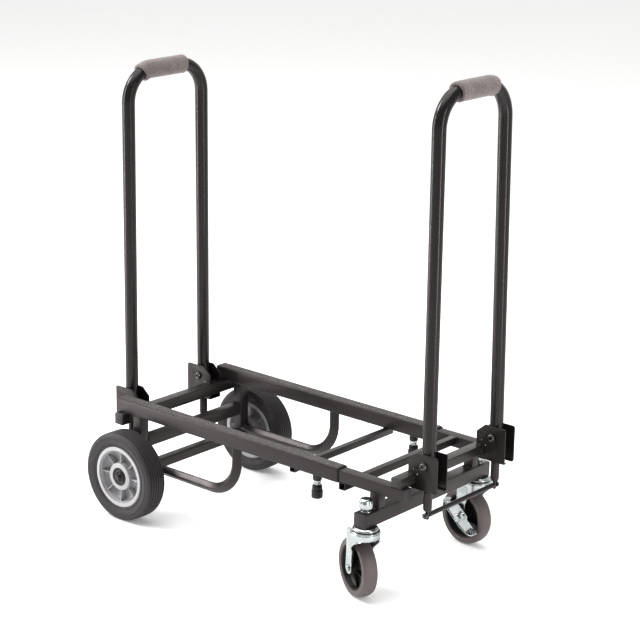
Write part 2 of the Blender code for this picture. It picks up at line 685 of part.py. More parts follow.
def make_lock_bar(end, x, half, pivot_z):
    """Two plungers that slide in the legs, with a rod and nuts joining their tips."""
    profile = [(0.0, -PLUNGER_TOP), (PLUNGER, -PLUNGER_TOP), (PLUNGER, -PLUNGER_END + 0.003),
               (PLUNGER - 0.002, -PLUNGER_END), (TIP_RADIUS, -PLUNGER_END), (TIP_RADIUS, -PLUNGER_TIP),
               (0.0, -PLUNGER_TIP)]
    plungers = []
    for side, sign in SIDES:
        frame = Matrix.Translation((x, sign * half, pivot_z))
        plunger = turned(f"{end}_plunger_{side}", profile, frame, SMALL_STEPS, "black_frame")
        slot_bottom = pivot_z - BOLT - LOCK_TRAVEL - 0.002
        slot = box_cutter(f"{end}_plunger_slot_{side}",
                          (x - BOLT - 0.001, sign * half - 0.02, slot_bottom),
                          (x + BOLT + 0.001, sign * half + 0.02, pivot_z))
        combine(plunger, slot)
        plungers.append(plunger)
    bar, other = plungers
    bar.name = f"{end}_lock_bar"
    combine(bar, as_cutter(other.name, other), "UNION")
    reach = half + TIP_RADIUS + 0.0060
    nut = 0.0066
    rod = turned(f"{end}_lock_rod",
                 [(0.0, reach), (nut, reach), (nut, reach - 0.0055), (LOCK_ROD, reach - 0.0055),
                  (LOCK_ROD, 0.0055 - reach), (nut, 0.0055 - reach), (nut, -reach), (0.0, -reach)],
                 across((x, 0.0, pivot_z - LOCK_ROD_DOWN)), SMALL_STEPS, "black_frame")
    combine(bar, as_cutter(rod.name, rod), "UNION")
    return bar


def bracket_outline(notch):
    """A bracket plate seen from the side: u points inwards, v up, from the pivot."""
    notch_out, notch_low, notch_high = notch
    cut_v = BRACKET_UP - BRACKET_CHAMFER + 0.002
    corner = (-BRACKET_OUT + BRACKET_ROUND, BRACKET_UP - BRACKET_ROUND)
    outline = [(BRACKET_IN - BRACKET_CHAMFER - 0.001, BRACKET_UP)]
    outline += arc(corner, BRACKET_ROUND, 90, 180, 3)
    outline += [(-BRACKET_OUT, -BRACKET_DOWN), (BRACKET_IN, -BRACKET_DOWN), (BRACKET_IN, notch_low),
                (notch_out, notch_low), (notch_out, notch_high), (BRACKET_IN, notch_high),
                (BRACKET_IN, cut_v)]
    return outline


def make_bracket(end, outward, side, sign, member):
    """A folded channel: two plates with a slotted floor, notched over its cross tube."""
    x = outward * HANDLE_X
    y = sign * HANDLE_HALF[end]
    z = PIVOT_Z[end]
    low_x, high_x, low_z, high_z, half = member
    tube_face = max(outward * low_x, outward * high_x)
    notch = (HANDLE_X - tube_face - GAP, low_z - GAP - z, high_z + GAP - z)
    inner = HANDLE_RADIUS + GAP
    outer = inner + PLATE
    floor = PLATE - BRACKET_DOWN
    channel = [(outer, CUT_PAST), (inner, CUT_PAST), (inner, floor), (-inner, floor), (-inner, CUT_PAST),
               (-outer, CUT_PAST), (-outer, -BRACKET_DOWN), (outer, -BRACKET_DOWN)]
    name = f"{end}_bracket_{side}"
    bracket = outline_solid(name, (channel,), 2 * CUT_PAST, facing("X", (x, y, z)), "black_frame")
    plate = [(outward * u, v) for u, v in bracket_outline(notch)]
    if outward < 0:
        plate.reverse()
    shape = outline_solid(f"{name}_shape", (plate,), CUT_PAST, facing("Y", (x, y, z)), "black_frame")
    combine(bracket, as_cutter(shape.name, shape), "INTERSECT")
    slot = PLUNGER + 0.0010
    low_x, high_x = sorted((x - outward * slot, x + outward * CUT_PAST))
    combine(bracket, box_cutter(f"{name}_slot", (low_x, y - slot, z - CUT_PAST),
                                (high_x, y + slot, z - LEG_BELOW_PIVOT - 0.001)))
    combine(bracket, cylinder_cutter(f"{name}_hole", (x, y, z), "Y", BOLT_HOLE, CUT_PAST))
    bolt_half = outer + HEAD_HEIGHT
    bolt = turned(f"{end}_pivot_bolt_{side}",
                  [(0.0, bolt_half), (HEAD_RADIUS - 0.0020, bolt_half), (HEAD_RADIUS, outer + GAP),
                   (BOLT, outer + GAP), (BOLT, -outer - GAP), (HEAD_RADIUS, -outer - GAP),
                   (HEAD_RADIUS - 0.0020, -bolt_half), (0.0, -bolt_half)],
                  across((x, y, z)), SMALL_STEPS, "dark_steel")
    return bracket, bolt


def make_ends(slide):
    """Both handles with the brackets and pivot bolts that carry them."""
    for end, outward in ENDS:
        member = REAR_CROSS if end == "rear" else FRONT_CROSS
        parent = None if end == "rear" else slide
        for side, sign in SIDES:
            pieces = make_bracket(end, outward, side, sign, member)
            if parent:
                hang(parent, *pieces)
        make_handle(end, outward, parent)


def build():
    """The whole truck, deck collapsed and both handles up."""
    slide = make_pivot("front_frame_slide", (RAIL_FRONT, 0.0, RAIL_TOP - RAIL / 2))
    make_outer_rails()
    make_inner_rails(slide)
    make_spring_pins()
    make_rear_frame()
    make_rear_wheels()
    make_front_frame(slide)
    make_casters(slide)
    make_ends(slide)


build()
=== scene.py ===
"""Looks of the convertible hand truck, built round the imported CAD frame.

Everything is in metres in the frame of the CAD: +X along the deck towards the casters, +Y across it,
+Z up, with the origin on the floor midway between the two handles.
"""
import math

import bmesh
import bpy
from mathutils import Matrix, Vector, noise


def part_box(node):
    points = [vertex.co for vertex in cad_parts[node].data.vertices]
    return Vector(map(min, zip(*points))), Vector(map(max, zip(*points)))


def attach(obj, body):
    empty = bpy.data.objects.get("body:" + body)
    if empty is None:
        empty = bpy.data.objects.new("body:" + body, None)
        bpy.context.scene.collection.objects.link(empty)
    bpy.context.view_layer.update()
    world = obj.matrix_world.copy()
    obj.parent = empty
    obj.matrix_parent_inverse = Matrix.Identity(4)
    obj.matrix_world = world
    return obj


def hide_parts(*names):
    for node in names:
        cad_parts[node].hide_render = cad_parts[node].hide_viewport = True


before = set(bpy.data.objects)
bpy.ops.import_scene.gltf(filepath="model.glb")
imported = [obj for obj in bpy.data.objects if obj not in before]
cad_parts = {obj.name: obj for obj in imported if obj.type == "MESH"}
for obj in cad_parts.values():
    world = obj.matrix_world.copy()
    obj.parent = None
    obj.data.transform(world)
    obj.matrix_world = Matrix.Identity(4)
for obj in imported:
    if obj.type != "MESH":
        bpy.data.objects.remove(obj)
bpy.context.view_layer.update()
SIDES = (("near", -1), ("far", 1))
ENDS = (("rear", -1), ("front", 1))
SHARP_ANGLE = 32.0


def centre_of(node):
    """The middle of a CAD node's box."""
    low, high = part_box(node)
    return (Vector(low) + Vector(high)) / 2


def size_of(node):
    """The size of a CAD node's box."""
    low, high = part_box(node)
    return Vector(high) - Vector(low)


def linked(name, data):
    """A new object round a mesh, curve, light or camera, put in the scene."""
    made = bpy.data.objects.new(name, data)
    bpy.context.scene.collection.objects.link(made)
    return made


def lifted(height):
    """A matrix that moves a piece along its own Z."""
    return Matrix.Translation((0.0, 0.0, height))


def turned(degrees, axis):
    """A matrix that turns a piece about one axis."""
    return Matrix.Rotation(math.radians(degrees), 4, axis)


def mirrored(profile):
    """A profile's points reflected in height, in reverse order."""
    return [(radius, -height) for radius, height in reversed(profile)]


# ---------------------------------------------------------------- materials

class Finish:
    """A Principled material with a small node graph on it."""

    def __init__(self, name, colour, roughness, metallic=0.0):
        self.material = bpy.data.materials.new(name)
        self.material.use_nodes = True
        self.tree = self.material.node_tree
        self.shader = self.tree.nodes["Principled BSDF"]
        self.shader.inputs["Base Color"].default_value = (*colour, 1.0)
        self.shader.inputs["Roughness"].default_value = roughness
        self.shader.inputs["Metallic"].default_value = metallic
        self.coordinates = self.tree.nodes.new("ShaderNodeTexCoord").outputs["Object"]
        self.normal = None

    def node(self, kind, **settings):
        """A new node with some of its properties set."""
        made = self.tree.nodes.new(kind)
        for key, value in settings.items():
            setattr(made, key, value)
        return made

    def link(self, output, socket):
        """Join two sockets."""
        self.tree.links.new(output, socket)

    def stretched(self, scale):
        """Object coordinates scaled by axis."""
        mapping = self.node("ShaderNodeMapping")
        mapping.inputs["Scale"].default_value = scale
        self.link(self.coordinates, mapping.inputs["Vector"])
        return mapping.outputs["Vector"]

    def noise(self, scale, detail=3.0, rough=0.55, vector=None):
        """A noise texture's factor."""
        made = self.node("ShaderNodeTexNoise")
        made.inputs["Scale"].default_value = scale
        made.inputs["Detail"].default_value = detail
        made.inputs["Roughness"].default_value = rough
        self.link(vector or self.coordinates, made.inputs["Vector"])
        return made.outputs["Fac"]

    def grains(self, scale, output="Distance"):
        """A Voronoi texture's output."""
        made = self.node("ShaderNodeTexVoronoi")
        made.inputs["Scale"].default_value = scale
        self.link(self.coordinates, made.inputs["Vector"])
        return made.outputs[output]

    def spread(self, value, low, high, to_low, to_high):
        """A value moved from one range to another, clamped."""
        made = self.node("ShaderNodeMapRange")
        for key, number in zip(("From Min", "From Max", "To Min", "To Max"), (low, high, to_low, to_high)):
            made.inputs[key].default_value = number
        self.link(value, made.inputs["Value"])
        return made.outputs["Result"]

    def colours(self, value, *stops):
        """A colour ramp of (position, colour) on a value."""
        made = self.node("ShaderNodeValToRGB")
        ramp = made.color_ramp
        while len(ramp.elements) < len(stops):
            ramp.elements.new(0.5)
        for element, (position, colour) in zip(ramp.elements, stops):
            element.position = position
            element.color = (*colour, 1.0)
        self.link(value, made.inputs["Fac"])
        return made.outputs["Color"]

    def mix(self, factor, first, second, blend="MIX"):
        """Two colours mixed by a factor."""
        made = self.node("ShaderNodeMix", data_type="RGBA", blend_type=blend)
        if isinstance(factor, float):
            made.inputs["Factor"].default_value = factor
        else:
            self.link(factor, made.inputs["Factor"])
        self.link(first, made.inputs["A"])
        self.link(second, made.inputs["B"])
        return made.outputs["Result"]

    def bump(self, height, distance, strength=1.0):
        """Add a layer of relief."""
        made = self.node("ShaderNodeBump")
        made.inputs["Distance"].default_value = distance
        made.inputs["Strength"].default_value = strength
        self.link(height, made.inputs["Height"])
        if self.normal:
            self.link(self.normal, made.inputs["Normal"])
        self.normal = made.outputs["Normal"]
        self.link(self.normal, self.shader.inputs["Normal"])

    def paint(self, colour):
        """Drive the base colour."""
        self.link(colour, self.shader.inputs["Base Color"])

    def gloss(self, value):
        """Drive the roughness."""
        self.link(value, self.shader.inputs["Roughness"])


def powder_coat(name, dark, light, smooth, rough, peel):
    """Powder-coated steel: fine orange peel, faint dust and changes of gloss."""
    finish = Finish(name, dark, rough)
    finish.paint(finish.colours(finish.noise(28.0, 5.0), (0.30, dark), (0.72, light)))
    finish.gloss(finish.spread(finish.noise(60.0, 4.0), 0.3, 0.7, smooth, rough))
    finish.shader.inputs["Specular Tint"].default_value = (1.0, 0.92, 0.925, 1.0)
    finish.bump(finish.noise(900.0, 2.0), 0.00006, peel)
    finish.bump(finish.noise(2600.0, 1.0), 0.00002, peel)
    return finish.material


def make_grip_tape():
    """Mineral grit in black binder, with a few bright grains."""
    finish = Finish("grip_tape", (0.05, 0.05, 0.05), 0.9)
    grains = finish.grains(950.0, output="Color")
    tone = finish.colours(grains, (0.0, (0.045, 0.041, 0.041)), (0.62, (0.085, 0.078, 0.077)),
                          (0.90, (0.220, 0.204, 0.200)))
    worn = finish.colours(finish.noise(35.0, 4.0), (0.35, (0.90, 0.89, 0.89)), (0.70, (1.0, 1.0, 1.0)))
    finish.paint(finish.mix(1.0, tone, worn, "MULTIPLY"))
    finish.gloss(finish.spread(grains, 0.0, 1.0, 0.95, 0.55))
    finish.bump(finish.grains(950.0), 0.0004, 0.8)
    finish.bump(finish.noise(2400.0, 2.0), 0.0002, 0.6)
    return finish.material


def make_foam():
    """Closed-cell foam: warm grey, matt, with fine open pores."""
    finish = Finish("grey_foam", (0.22, 0.19, 0.18), 0.92)
    tone = finish.colours(finish.noise(45.0, 5.0), (0.30, (0.192, 0.164, 0.159)),
                          (0.75, (0.246, 0.212, 0.205)))
    pores = finish.colours(finish.noise(1500.0, 2.0, 0.7), (0.34, (0.55, 0.53, 0.52)),
                           (0.50, (1.0, 1.0, 1.0)))
    mottle = finish.colours(finish.noise(330.0, 3.0), (0.36, (0.78, 0.77, 0.77)), (0.64, (1.18, 1.18, 1.18)))
    finish.paint(finish.mix(1.0, finish.mix(1.0, tone, pores, "MULTIPLY"), mottle, "MULTIPLY"))
    finish.gloss(finish.spread(finish.noise(300.0), 0.3, 0.7, 0.86, 0.97))
    finish.shader.inputs["Sheen Weight"].default_value = 0.25
    finish.shader.inputs["Sheen Roughness"].default_value = 0.6
    finish.bump(finish.noise(1500.0, 3.0, 0.7), 0.0003, 0.8)
    finish.bump(finish.noise(160.0, 3.0), 0.0006, 0.5)
    return finish.material


def rubber(name, dark, light, smooth, rough):
    """Moulded rubber with a faint bloom and a fine matt skin."""
    finish = Finish(name, dark, rough)
    finish.paint(finish.colours(finish.noise(22.0, 6.0, 0.6), (0.30, dark), (0.75, light)))
    finish.gloss(finish.spread(finish.noise(90.0, 4.0), 0.3, 0.7, smooth, rough))
    finish.bump(finish.noise(1300.0, 3.0), 0.00010, 0.6)
    finish.bump(finish.noise(240.0, 2.0), 0.00012, 0.3)
    return finish.material


def plastic(name, dark, light, smooth, rough):
    """Moulded plastic with a spark-eroded texture."""
    finish = Finish(name, dark, rough)
    finish.paint(finish.colours(finish.noise(30.0, 4.0), (0.3, dark), (0.7, light)))
    finish.gloss(finish.spread(finish.noise(140.0, 3.0), 0.3, 0.7, smooth, rough))
    finish.bump(finish.grains(1600.0), 0.00008, 0.5)
    return finish.material


def plated(name, dark, light, smooth, rough, streak):
    """Plated steel: drawn streaks, cloudy patches and small changes of tint."""
    finish = Finish(name, light, rough, 1.0)
    cloudy = finish.noise(38.0, 5.0, 0.6)
    finish.paint(finish.colours(cloudy, (0.28, dark), (0.72, light)))
    drawn = finish.noise(60.0, 4.0, 0.6, finish.stretched(streak))
    finish.gloss(finish.spread(drawn, 0.3, 0.7, smooth, rough))
    finish.bump(drawn, 0.00002, 0.3)
    finish.bump(finish.noise(520.0, 2.0), 0.00001, 0.3)
    return finish.material


MATERIALS = {
    "black_frame": powder_coat("black_frame", (0.027, 0.0227, 0.0231), (0.032, 0.0273, 0.0277), 0.31, 0.39,
                               0.4),
    "black_plate": powder_coat("black_plate", (0.014, 0.0112, 0.0112), (0.018, 0.0148, 0.0148), 0.32, 0.40,
                               0.5),
    "black_handle": powder_coat("black_handle", (0.014, 0.0120, 0.0124), (0.017, 0.0146, 0.0150), 0.22, 0.26,
                                0.05),
    "grip_tape": make_grip_tape(),
    "grey_foam": make_foam(),
    "black_rubber": rubber("black_rubber", (0.036, 0.0323, 0.0330), (0.046, 0.0417, 0.0424), 0.48, 0.64),
    "caster_rubber": rubber("caster_rubber", (0.124, 0.106, 0.103), (0.158, 0.138, 0.134), 0.42, 0.58),
    "grey_plastic": plastic("grey_plastic", (0.400, 0.397, 0.397), (0.440, 0.437, 0.437), 0.34, 0.48),
    # The darker grey copy below is painted shade for the rim's recessed web, dish and hub; it is the same
    # plastic as grey_plastic.
    "grey_web_shaded": plastic("grey_web_shaded", (0.29, 0.29, 0.30), (0.37, 0.37, 0.38), 0.30, 0.44),
    "plug_plastic": plastic("plug_plastic", (0.036, 0.0315, 0.0322), (0.045, 0.0398, 0.0405), 0.36, 0.50),
    "black_plastic": plastic("black_plastic", (0.014, 0.013, 0.013), (0.022, 0.021, 0.021), 0.35, 0.55),
    "zinc": plated("zinc", (0.37, 0.395, 0.40), (0.51, 0.53, 0.53), 0.20, 0.30, (1.0, 1.0, 6.0)),
    "dark_steel": plated("dark_steel", (0.085, 0.079, 0.079), (0.180, 0.170, 0.170), 0.22, 0.36,
                         (6.0, 6.0, 1.0)),
}


# ---------------------------------------------------------------- shapes

def add_object(name, mesh, material, matrix=Matrix(), sharp=SHARP_ANGLE):
    """A smooth-shaded object from a mesh."""
    mesh.shade_smooth()
    mesh.set_sharp_from_angle(angle=math.radians(sharp))
    mesh.materials.clear()
    mesh.materials.append(MATERIALS[material])
    made = linked(name, mesh)
    made.matrix_world = matrix
    return made


def as_object(shell, name, material, matrix=Matrix(), sharp=SHARP_ANGLE):
    """An object made of a finished shell, with its faces turned outwards."""
    bmesh.ops.recalc_face_normals(shell, faces=shell.faces)
    mesh = bpy.data.meshes.new(name)
    shell.to_mesh(mesh)
    shell.free()
    return add_object(name, mesh, material, matrix, sharp)


def skin(shell, pairs):
    """Faces between each pair of rings; a ring of one vertex closes an end."""
    for first, second in pairs:
        count = max(len(first), len(second))
        if count == 1:
            continue
        for index in range(count):
            ahead = (index + 1) % count
            if len(first) == 1:
                shell.faces.new((first[0], second[ahead], second[index]))
            elif len(second) == 1:
                shell.faces.new((first[index], first[ahead], second[0]))
            else:
                shell.faces.new((first[index], first[ahead], second[ahead], second[index]))


def arc(centre, radius, start, end, steps):
    """Points along an arc between two angles in degrees."""
    points = []
    for step in range(steps + 1):
        angle = math.radians(start + (end - start) * step / steps)
        points.append((centre[0] + radius * math.cos(angle), centre[1] + radius * math.sin(angle)))
    return points


def filleted(points, radius, steps=3, closed=True):
    """An outline with its corners rounded; radius may be one number or one for each corner."""
    radii = radius if isinstance(radius, (list, tuple)) else [radius] * len(points)
    made = []
    count = len(points)
    for index, point in enumerate(points):
        corner = Vector(point)
        if not closed and index in (0, count - 1):
            made.append(tuple(corner))
            continue
        back = Vector(points[index - 1]) - corner
        ahead = Vector(points[(index + 1) % count]) - corner
        if back.length < 1e-9 or ahead.length < 1e-9 or radii[index] <= 0:
            made.append(tuple(corner))
            continue
        turn = back.angle(ahead)
        if turn > math.radians(172):
            made.append(tuple(corner))
            continue
        reach = min(radii[index] / math.tan(turn / 2), back.length * 0.48, ahead.length * 0.48)
        first = corner + back.normalized() * reach
        last = corner + ahead.normalized() * reach
        for step in range(steps + 1):
            share = step / steps
            curve = first.lerp(corner, share).lerp(corner.lerp(last, share), share)
            made.append(tuple(curve))
    return made


def lathe(name, profile, material, matrix=Matrix(), steps=96, soft=0.0006, sharp=SHARP_ANGLE):
    """A profile of (radius, height) turned about Z, with softened corners."""
    on_axis = profile[0][0] < 1e-9
    points = filleted(profile, soft, 3, not on_axis) if soft else list(profile)
    shell = bmesh.new()
    rings = []
    for radius, height in points:
        if radius < 1e-9:
            rings.append([shell.verts.new((0.0, 0.0, height))])
            continue
        rings.append([shell.verts.new((radius * math.cos(2 * math.pi * step / steps),
                                       radius * math.sin(2 * math.pi * step / steps), height))
                      for step in range(steps)])
    pairs = list(zip(rings, rings[1:]))
    if not on_axis:
        pairs.append((rings[-1], rings[0]))
    skin(shell, pairs)
    return as_object(shell, name, material, matrix, sharp)


def plate(name, outlines, thickness, material, matrix=Matrix(), edge=0.0004):
    """A flat outline with any holes, extruded about its own plane with softened edges."""
    curve = bpy.data.curves.new(name, "CURVE")
    curve.dimensions = "2D"
    curve.fill_mode = "BOTH"
    curve.extrude = thickness / 2 - edge
    curve.bevel_depth = edge
    curve.bevel_resolution = 2
    curve.offset = -edge
    for outline in outlines:
        spline = curve.splines.new("POLY")
        spline.points.add(len(outline) - 1)
        spline.use_cyclic_u = True
        for point, (u, v) in zip(spline.points, outline):
            point.co = (u, v, 0.0, 1.0)
    holder = linked("holder", curve)
    depsgraph = bpy.context.evaluated_depsgraph_get()
    mesh = bpy.data.meshes.new_from_object(holder.evaluated_get(depsgraph))
    bpy.data.objects.remove(holder, do_unlink=True)
    bpy.data.curves.remove(curve)
    shell = bmesh.new()
    shell.from_mesh(mesh)
    bmesh.ops.remove_doubles(shell, verts=shell.verts, dist=1e-6)
    bmesh.ops.recalc_face_normals(shell, faces=shell.faces)
    shell.to_mesh(mesh)
    shell.free()
    mesh.name = name
    return add_object(name, mesh, material, matrix)


def facing(axis, centre):
    """A matrix that turns an outline's normal to X, Y or Z, with Z as its up."""
    turns = {
        "X": Matrix(((0, 0, 1), (1, 0, 0), (0, 1, 0))),
        "Y": Matrix(((-1, 0, 0), (0, 0, 1), (0, 1, 0))),
        "Z": Matrix.Identity(3),
    }
    return Matrix.Translation(centre) @ turns[axis].to_4x4()


def across(centre):
    """A matrix that lays a turned piece's axis along +Y."""
    return Matrix.Translation(centre) @ turned(-90, "X")


def rectangle(width, height, radius, steps=4):
    """A rectangle about the origin with rounded corners."""
    points = []
    for turn, (u, v) in enumerate(((1, 1), (-1, 1), (-1, -1), (1, -1))):
        centre = (u * (width / 2 - radius), v * (height / 2 - radius))
        points += arc(centre, radius, 90 * turn, 90 * turn + 90, steps)
    return points


def circle(radius, steps=32):
    """A round outline."""
    return [(radius * math.cos(2 * math.pi * step / steps),
             radius * math.sin(2 * math.pi * step / steps)) for step in range(steps)]


def polygon(radius, sides, turn=0.0):
    """A regular polygon by its corner radius."""
    return [(radius * math.cos(turn + 2 * math.pi * side / sides),
             radius * math.sin(turn + 2 * math.pi * side / sides)) for side in range(sides)]


def square_tube(name, node, axis, wall=0.0018, corner=0.0018):
    """A black tube with rounded corners in the box of a CAD node."""
    size = size_of(node)
    width, height = {"X": (size.y, size.z), "Y": (size.x, size.z), "Z": (size.x, size.y)}[axis]
    outside = rectangle(width, height, corner)
    inside = rectangle(width - 2 * wall, height - 2 * wall, corner * 0.4, 2)
    return plate(name, (outside, inside), size["XYZ".index(axis)], "black_frame",
                 facing(axis, centre_of(node)))


def frames_along(path, closed=False):
    """Directions and two cross axes at every point of a path, carried along without twist."""
    points = [Vector(point) for point in path]
    count = len(points)
    directions = []
    for index in range(count):
        before = points[index - 1] if index or closed else points[index]
        after = points[(index + 1) % count] if index < count - 1 or closed else points[index]
        directions.append((after - before).normalized())
    side = directions[0].orthogonal().normalized()
    if abs(directions[0].x) < 0.9:
        side = (Vector((1, 0, 0)) - directions[0] * directions[0].x).normalized()
    sides = []
    for index, direction in enumerate(directions):
        if index:
            side = directions[index - 1].rotation_difference(direction) @ side
        side = (side - direction * side.dot(direction)).normalized()
        sides.append((side, direction.cross(side)))
    return points, sides


def sweep(name, path, sections, material, closed=False, caps=True, sharp=SHARP_ANGLE):
    """Outlines carried along a path: one for the whole path, or one for each point."""
    points, sides = frames_along(path, closed)
    if not isinstance(sections[0][0], (list, tuple)):
        sections = [sections] * len(points)
    shell = bmesh.new()
    rings = []
    for point, (side, other), section in zip(points, sides, sections):
        rings.append([shell.verts.new(point + side * u + other * v) for u, v in section])
    skin(shell, list(zip(rings, rings[1:])) + ([(rings[-1], rings[0])] if closed else []))
    if caps and not closed:
        shell.faces.new(list(reversed(rings[0])))
        shell.faces.new(rings[-1])
    return as_object(shell, name, material, sharp=sharp)


def joined(name, *objects):
    """Several objects made into one mesh, in world space, keeping their materials."""
    shell = bmesh.new()
    materials = []
    for piece in objects:
        mesh = piece.data
        slots = []
        for material in mesh.materials:
            if material not in materials:
                materials.append(material)
            slots.append(materials.index(material))
        start = len(shell.faces)
        mesh.transform(piece.matrix_world)
        shell.from_mesh(mesh)
        shell.faces.ensure_lookup_table()
        for face in shell.faces[start:]:
            face.material_index = slots[face.material_index]
        bpy.data.objects.remove(piece, do_unlink=True)
    merged = bpy.data.meshes.new(name)
    shell.to_mesh(merged)
    shell.free()
    for material in materials:
        merged.materials.append(material)
    return linked(name, merged)


def settle(piece, body, slot, *nodes):
    """Ride a piece on a body and hide the CAD nodes it stands for; the material slot it is given is not
    used.
    """
    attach(piece, body)
    if nodes:
        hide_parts(*nodes)
    return piece


BEAD_STEP = 0.0007


def weld(name, path, radius, closed=False):
    """A bead of overlapping ripples laid along a path."""
    points = []
    corners = [Vector(point) for point in path]
    if closed:
        corners.append(corners[0])
    for first, second in zip(corners, corners[1:]):
        pieces = max(1, int((second - first).length / BEAD_STEP))
        points += [first.lerp(second, step / pieces) for step in range(pieces)]
    if not closed:
        points.append(corners[-1])
    sections = []
    for index, point in enumerate(points):
        ripple = 1.0 + 0.14 * math.sin(index * 1.55) + 0.20 * noise.noise(point * 220.0)
        end = 1.0
        if not closed:
            end = min(1.0, 0.45 + 0.25 * min(index, len(points) - 1 - index))
        sections.append(circle(radius * ripple * end, 10))
    return sweep(name, points, sections, "black_frame", closed, not closed, 60.0)


def box_ring(low, high, z):
    """The four corners of a box at a height."""
    return [(low[0], low[1], z), (high[0], low[1], z), (high[0], high[1], z), (low[0], high[1], z)]


# ---------------------------------------------------------------- deck

RAIL = 0.030
RAIL_TOP = 0.2555
RAIL_BOTTOM = RAIL_TOP - RAIL
RAIL_MIDDLE = 0.159
POST_X = -0.3443
TAPE_LONG_STEPS = 460
TAPE_WIDE_STEPS = 18


def make_tape(side):
    """A strip of grip tape with its grit as relief."""
    node = f"grip_tape_{side}"
    low, high = (Vector(corner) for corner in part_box(node))
    shell = bmesh.new()
    grid = []
    for row in range(TAPE_LONG_STEPS + 1):
        line = []
        for column in range(TAPE_WIDE_STEPS + 1):
            x = low.x + (high.x - low.x) * row / TAPE_LONG_STEPS
            y = low.y + (high.y - low.y) * column / TAPE_WIDE_STEPS
            rim = min(row, TAPE_LONG_STEPS - row, column, TAPE_WIDE_STEPS - column)
            grit = noise.noise(Vector((x, y, 0.3)) * 900.0) * 0.00014
            grit += noise.noise(Vector((x, y, 4.7)) * 420.0) * 0.00004
            if rim == 0:
                edge = 0.00010 * (1 + noise.noise(Vector((x, y, 1.0)) * 150.0))
                y += math.copysign(edge, (low.y + high.y) / 2 - y)
            height = high.z - (0.00045 if rim == 0 else 0.00014) + grit
            line.append(shell.verts.new((x, y, height)))
        grid.append(line)
    for first, second in zip(grid, grid[1:]):
        for column in range(TAPE_WIDE_STEPS):
            shell.faces.new((first[column], second[column], second[column + 1], first[column + 1]))
    edge_loop = ([line[0] for line in grid] + grid[-1][1:] + [line[-1] for line in reversed(grid[:-1])]
                 + list(reversed(grid[0][1:-1])))
    base = [shell.verts.new((vert.co.x, vert.co.y, low.z)) for vert in edge_loop]
    count = len(edge_loop)
    for index in range(count):
        ahead = (index + 1) % count
        shell.faces.new((edge_loop[ahead], edge_loop[index], base[index], base[ahead]))
    shell.faces.new(list(reversed(base)))
    settle(as_object(shell, f"tape_{side}", "grip_tape"), "rear_frame", "grip_tape", node)


def end_plug(name, centre, axis, outward, width, height, body):
    """A plastic plug in a tube's end: a thin flange, a raised panel and the part inside the tube."""
    flange = plate(f"{name}_flange", (rectangle(width - 0.0006, height - 0.0006, 0.0024),), 0.0012,
                   "plug_plastic", facing(axis, centre), 0.0004)
    direction = Vector(tuple(outward if letter == axis else 0.0 for letter in "XYZ"))
    dish = plate(f"{name}_dish", (rectangle(width - 0.0090, height - 0.0090, 0.0020),), 0.0008,
                 "plug_plastic", facing(axis, Vector(centre) + direction * 0.0007), 0.0003)
    body_of_plug = plate(f"{name}_body", (rectangle(width - 0.0046, height - 0.0046, 0.0012),), 0.0100,
                         "plug_plastic", facing(axis, Vector(centre) - direction * 0.0052), 0.0004)
    settle(joined(name, flange, dish, body_of_plug), body, "black_plastic")


def make_deck():
    """Rails, tapes, bushes, plugs, cross members and posts."""
    for side, sign in SIDES:
        settle(square_tube(f"rail_outer_{side}", f"outer_rail_{side}", "X", wall=0.0020),
               "rear_frame", "black_frame", f"outer_rail_{side}")
        settle(square_tube(f"rail_inner_{side}", f"inner_rail_{side}", "X", corner=0.0016),
               "front_frame", "black_frame", f"inner_rail_{side}")
        make_tape(side)
        node = f"rail_bush_{side}"
        size = size_of(node)
        opening = size.y - 0.0044
        bush = plate(f"bush_{side}",
                     (rectangle(size.y, size.z, 0.0028), rectangle(opening, opening, 0.0010)),
                     size.x, "black_plastic", facing("X", centre_of(node)), 0.0006)
        settle(bush, "rear_frame", "black_plastic", node)
        rail_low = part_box(f"outer_rail_{side}")[0]
        middle = centre_of(f"outer_rail_{side}")
        end_plug(f"rail_plug_{side}", (rail_low[0] + 0.0002, middle.y, middle.z), "X", -1, RAIL, RAIL,
                 "rear_frame")
        inner_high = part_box(f"inner_rail_{side}")[1]
        middle = centre_of(f"inner_rail_{side}")
        end_plug(f"inner_plug_{side}", (inner_high[0] - 0.0002, middle.y, middle.z), "X", 1, 0.025, 0.025,
                 "front_frame")
    for node, body, axis, corner in (
            ("rear_cross_tube", "rear_frame", "Y", 0.0018), ("deck_tie_tube", "rear_frame", "Y", 0.0012),
            ("mid_cross_tube", "rear_frame", "Y", 0.0018), ("axle_tube", "rear_frame", "Y", 0.0030),
            ("front_cross_tube", "front_frame", "Y", 0.0016), ("inner_tie_tube", "front_frame", "Y", 0.0014),
            ("flush_tie_tube", "front_frame", "Y", 0.0014), ("caster_beam", "front_frame", "Y", 0.0014)):
        settle(square_tube(node.replace("_tube", "") + "_member", node, axis, corner=corner), body,
               "black_frame", node)
    for side, sign in SIDES:
        for node, body in ((f"rear_post_{side}", "rear_frame"), (f"caster_post_{side}", "front_frame")):
            settle(square_tube(node.replace("post", "upright"), node, "Z"), body, "black_frame", node)
        for node, body in (("rear_cross_tube", "rear_frame"), ("caster_beam", "front_frame"),
                           ("front_cross_tube", "front_frame")):
            size = size_of(node)
            middle = centre_of(node)
            end_plug(node.split("_")[0] + "_" + node.split("_")[1] + f"_plug_{side}",
                     (middle.x, middle.y + sign * (size.y / 2 - 0.0002), middle.z), "Y", sign,
                     size.x, size.z, body)


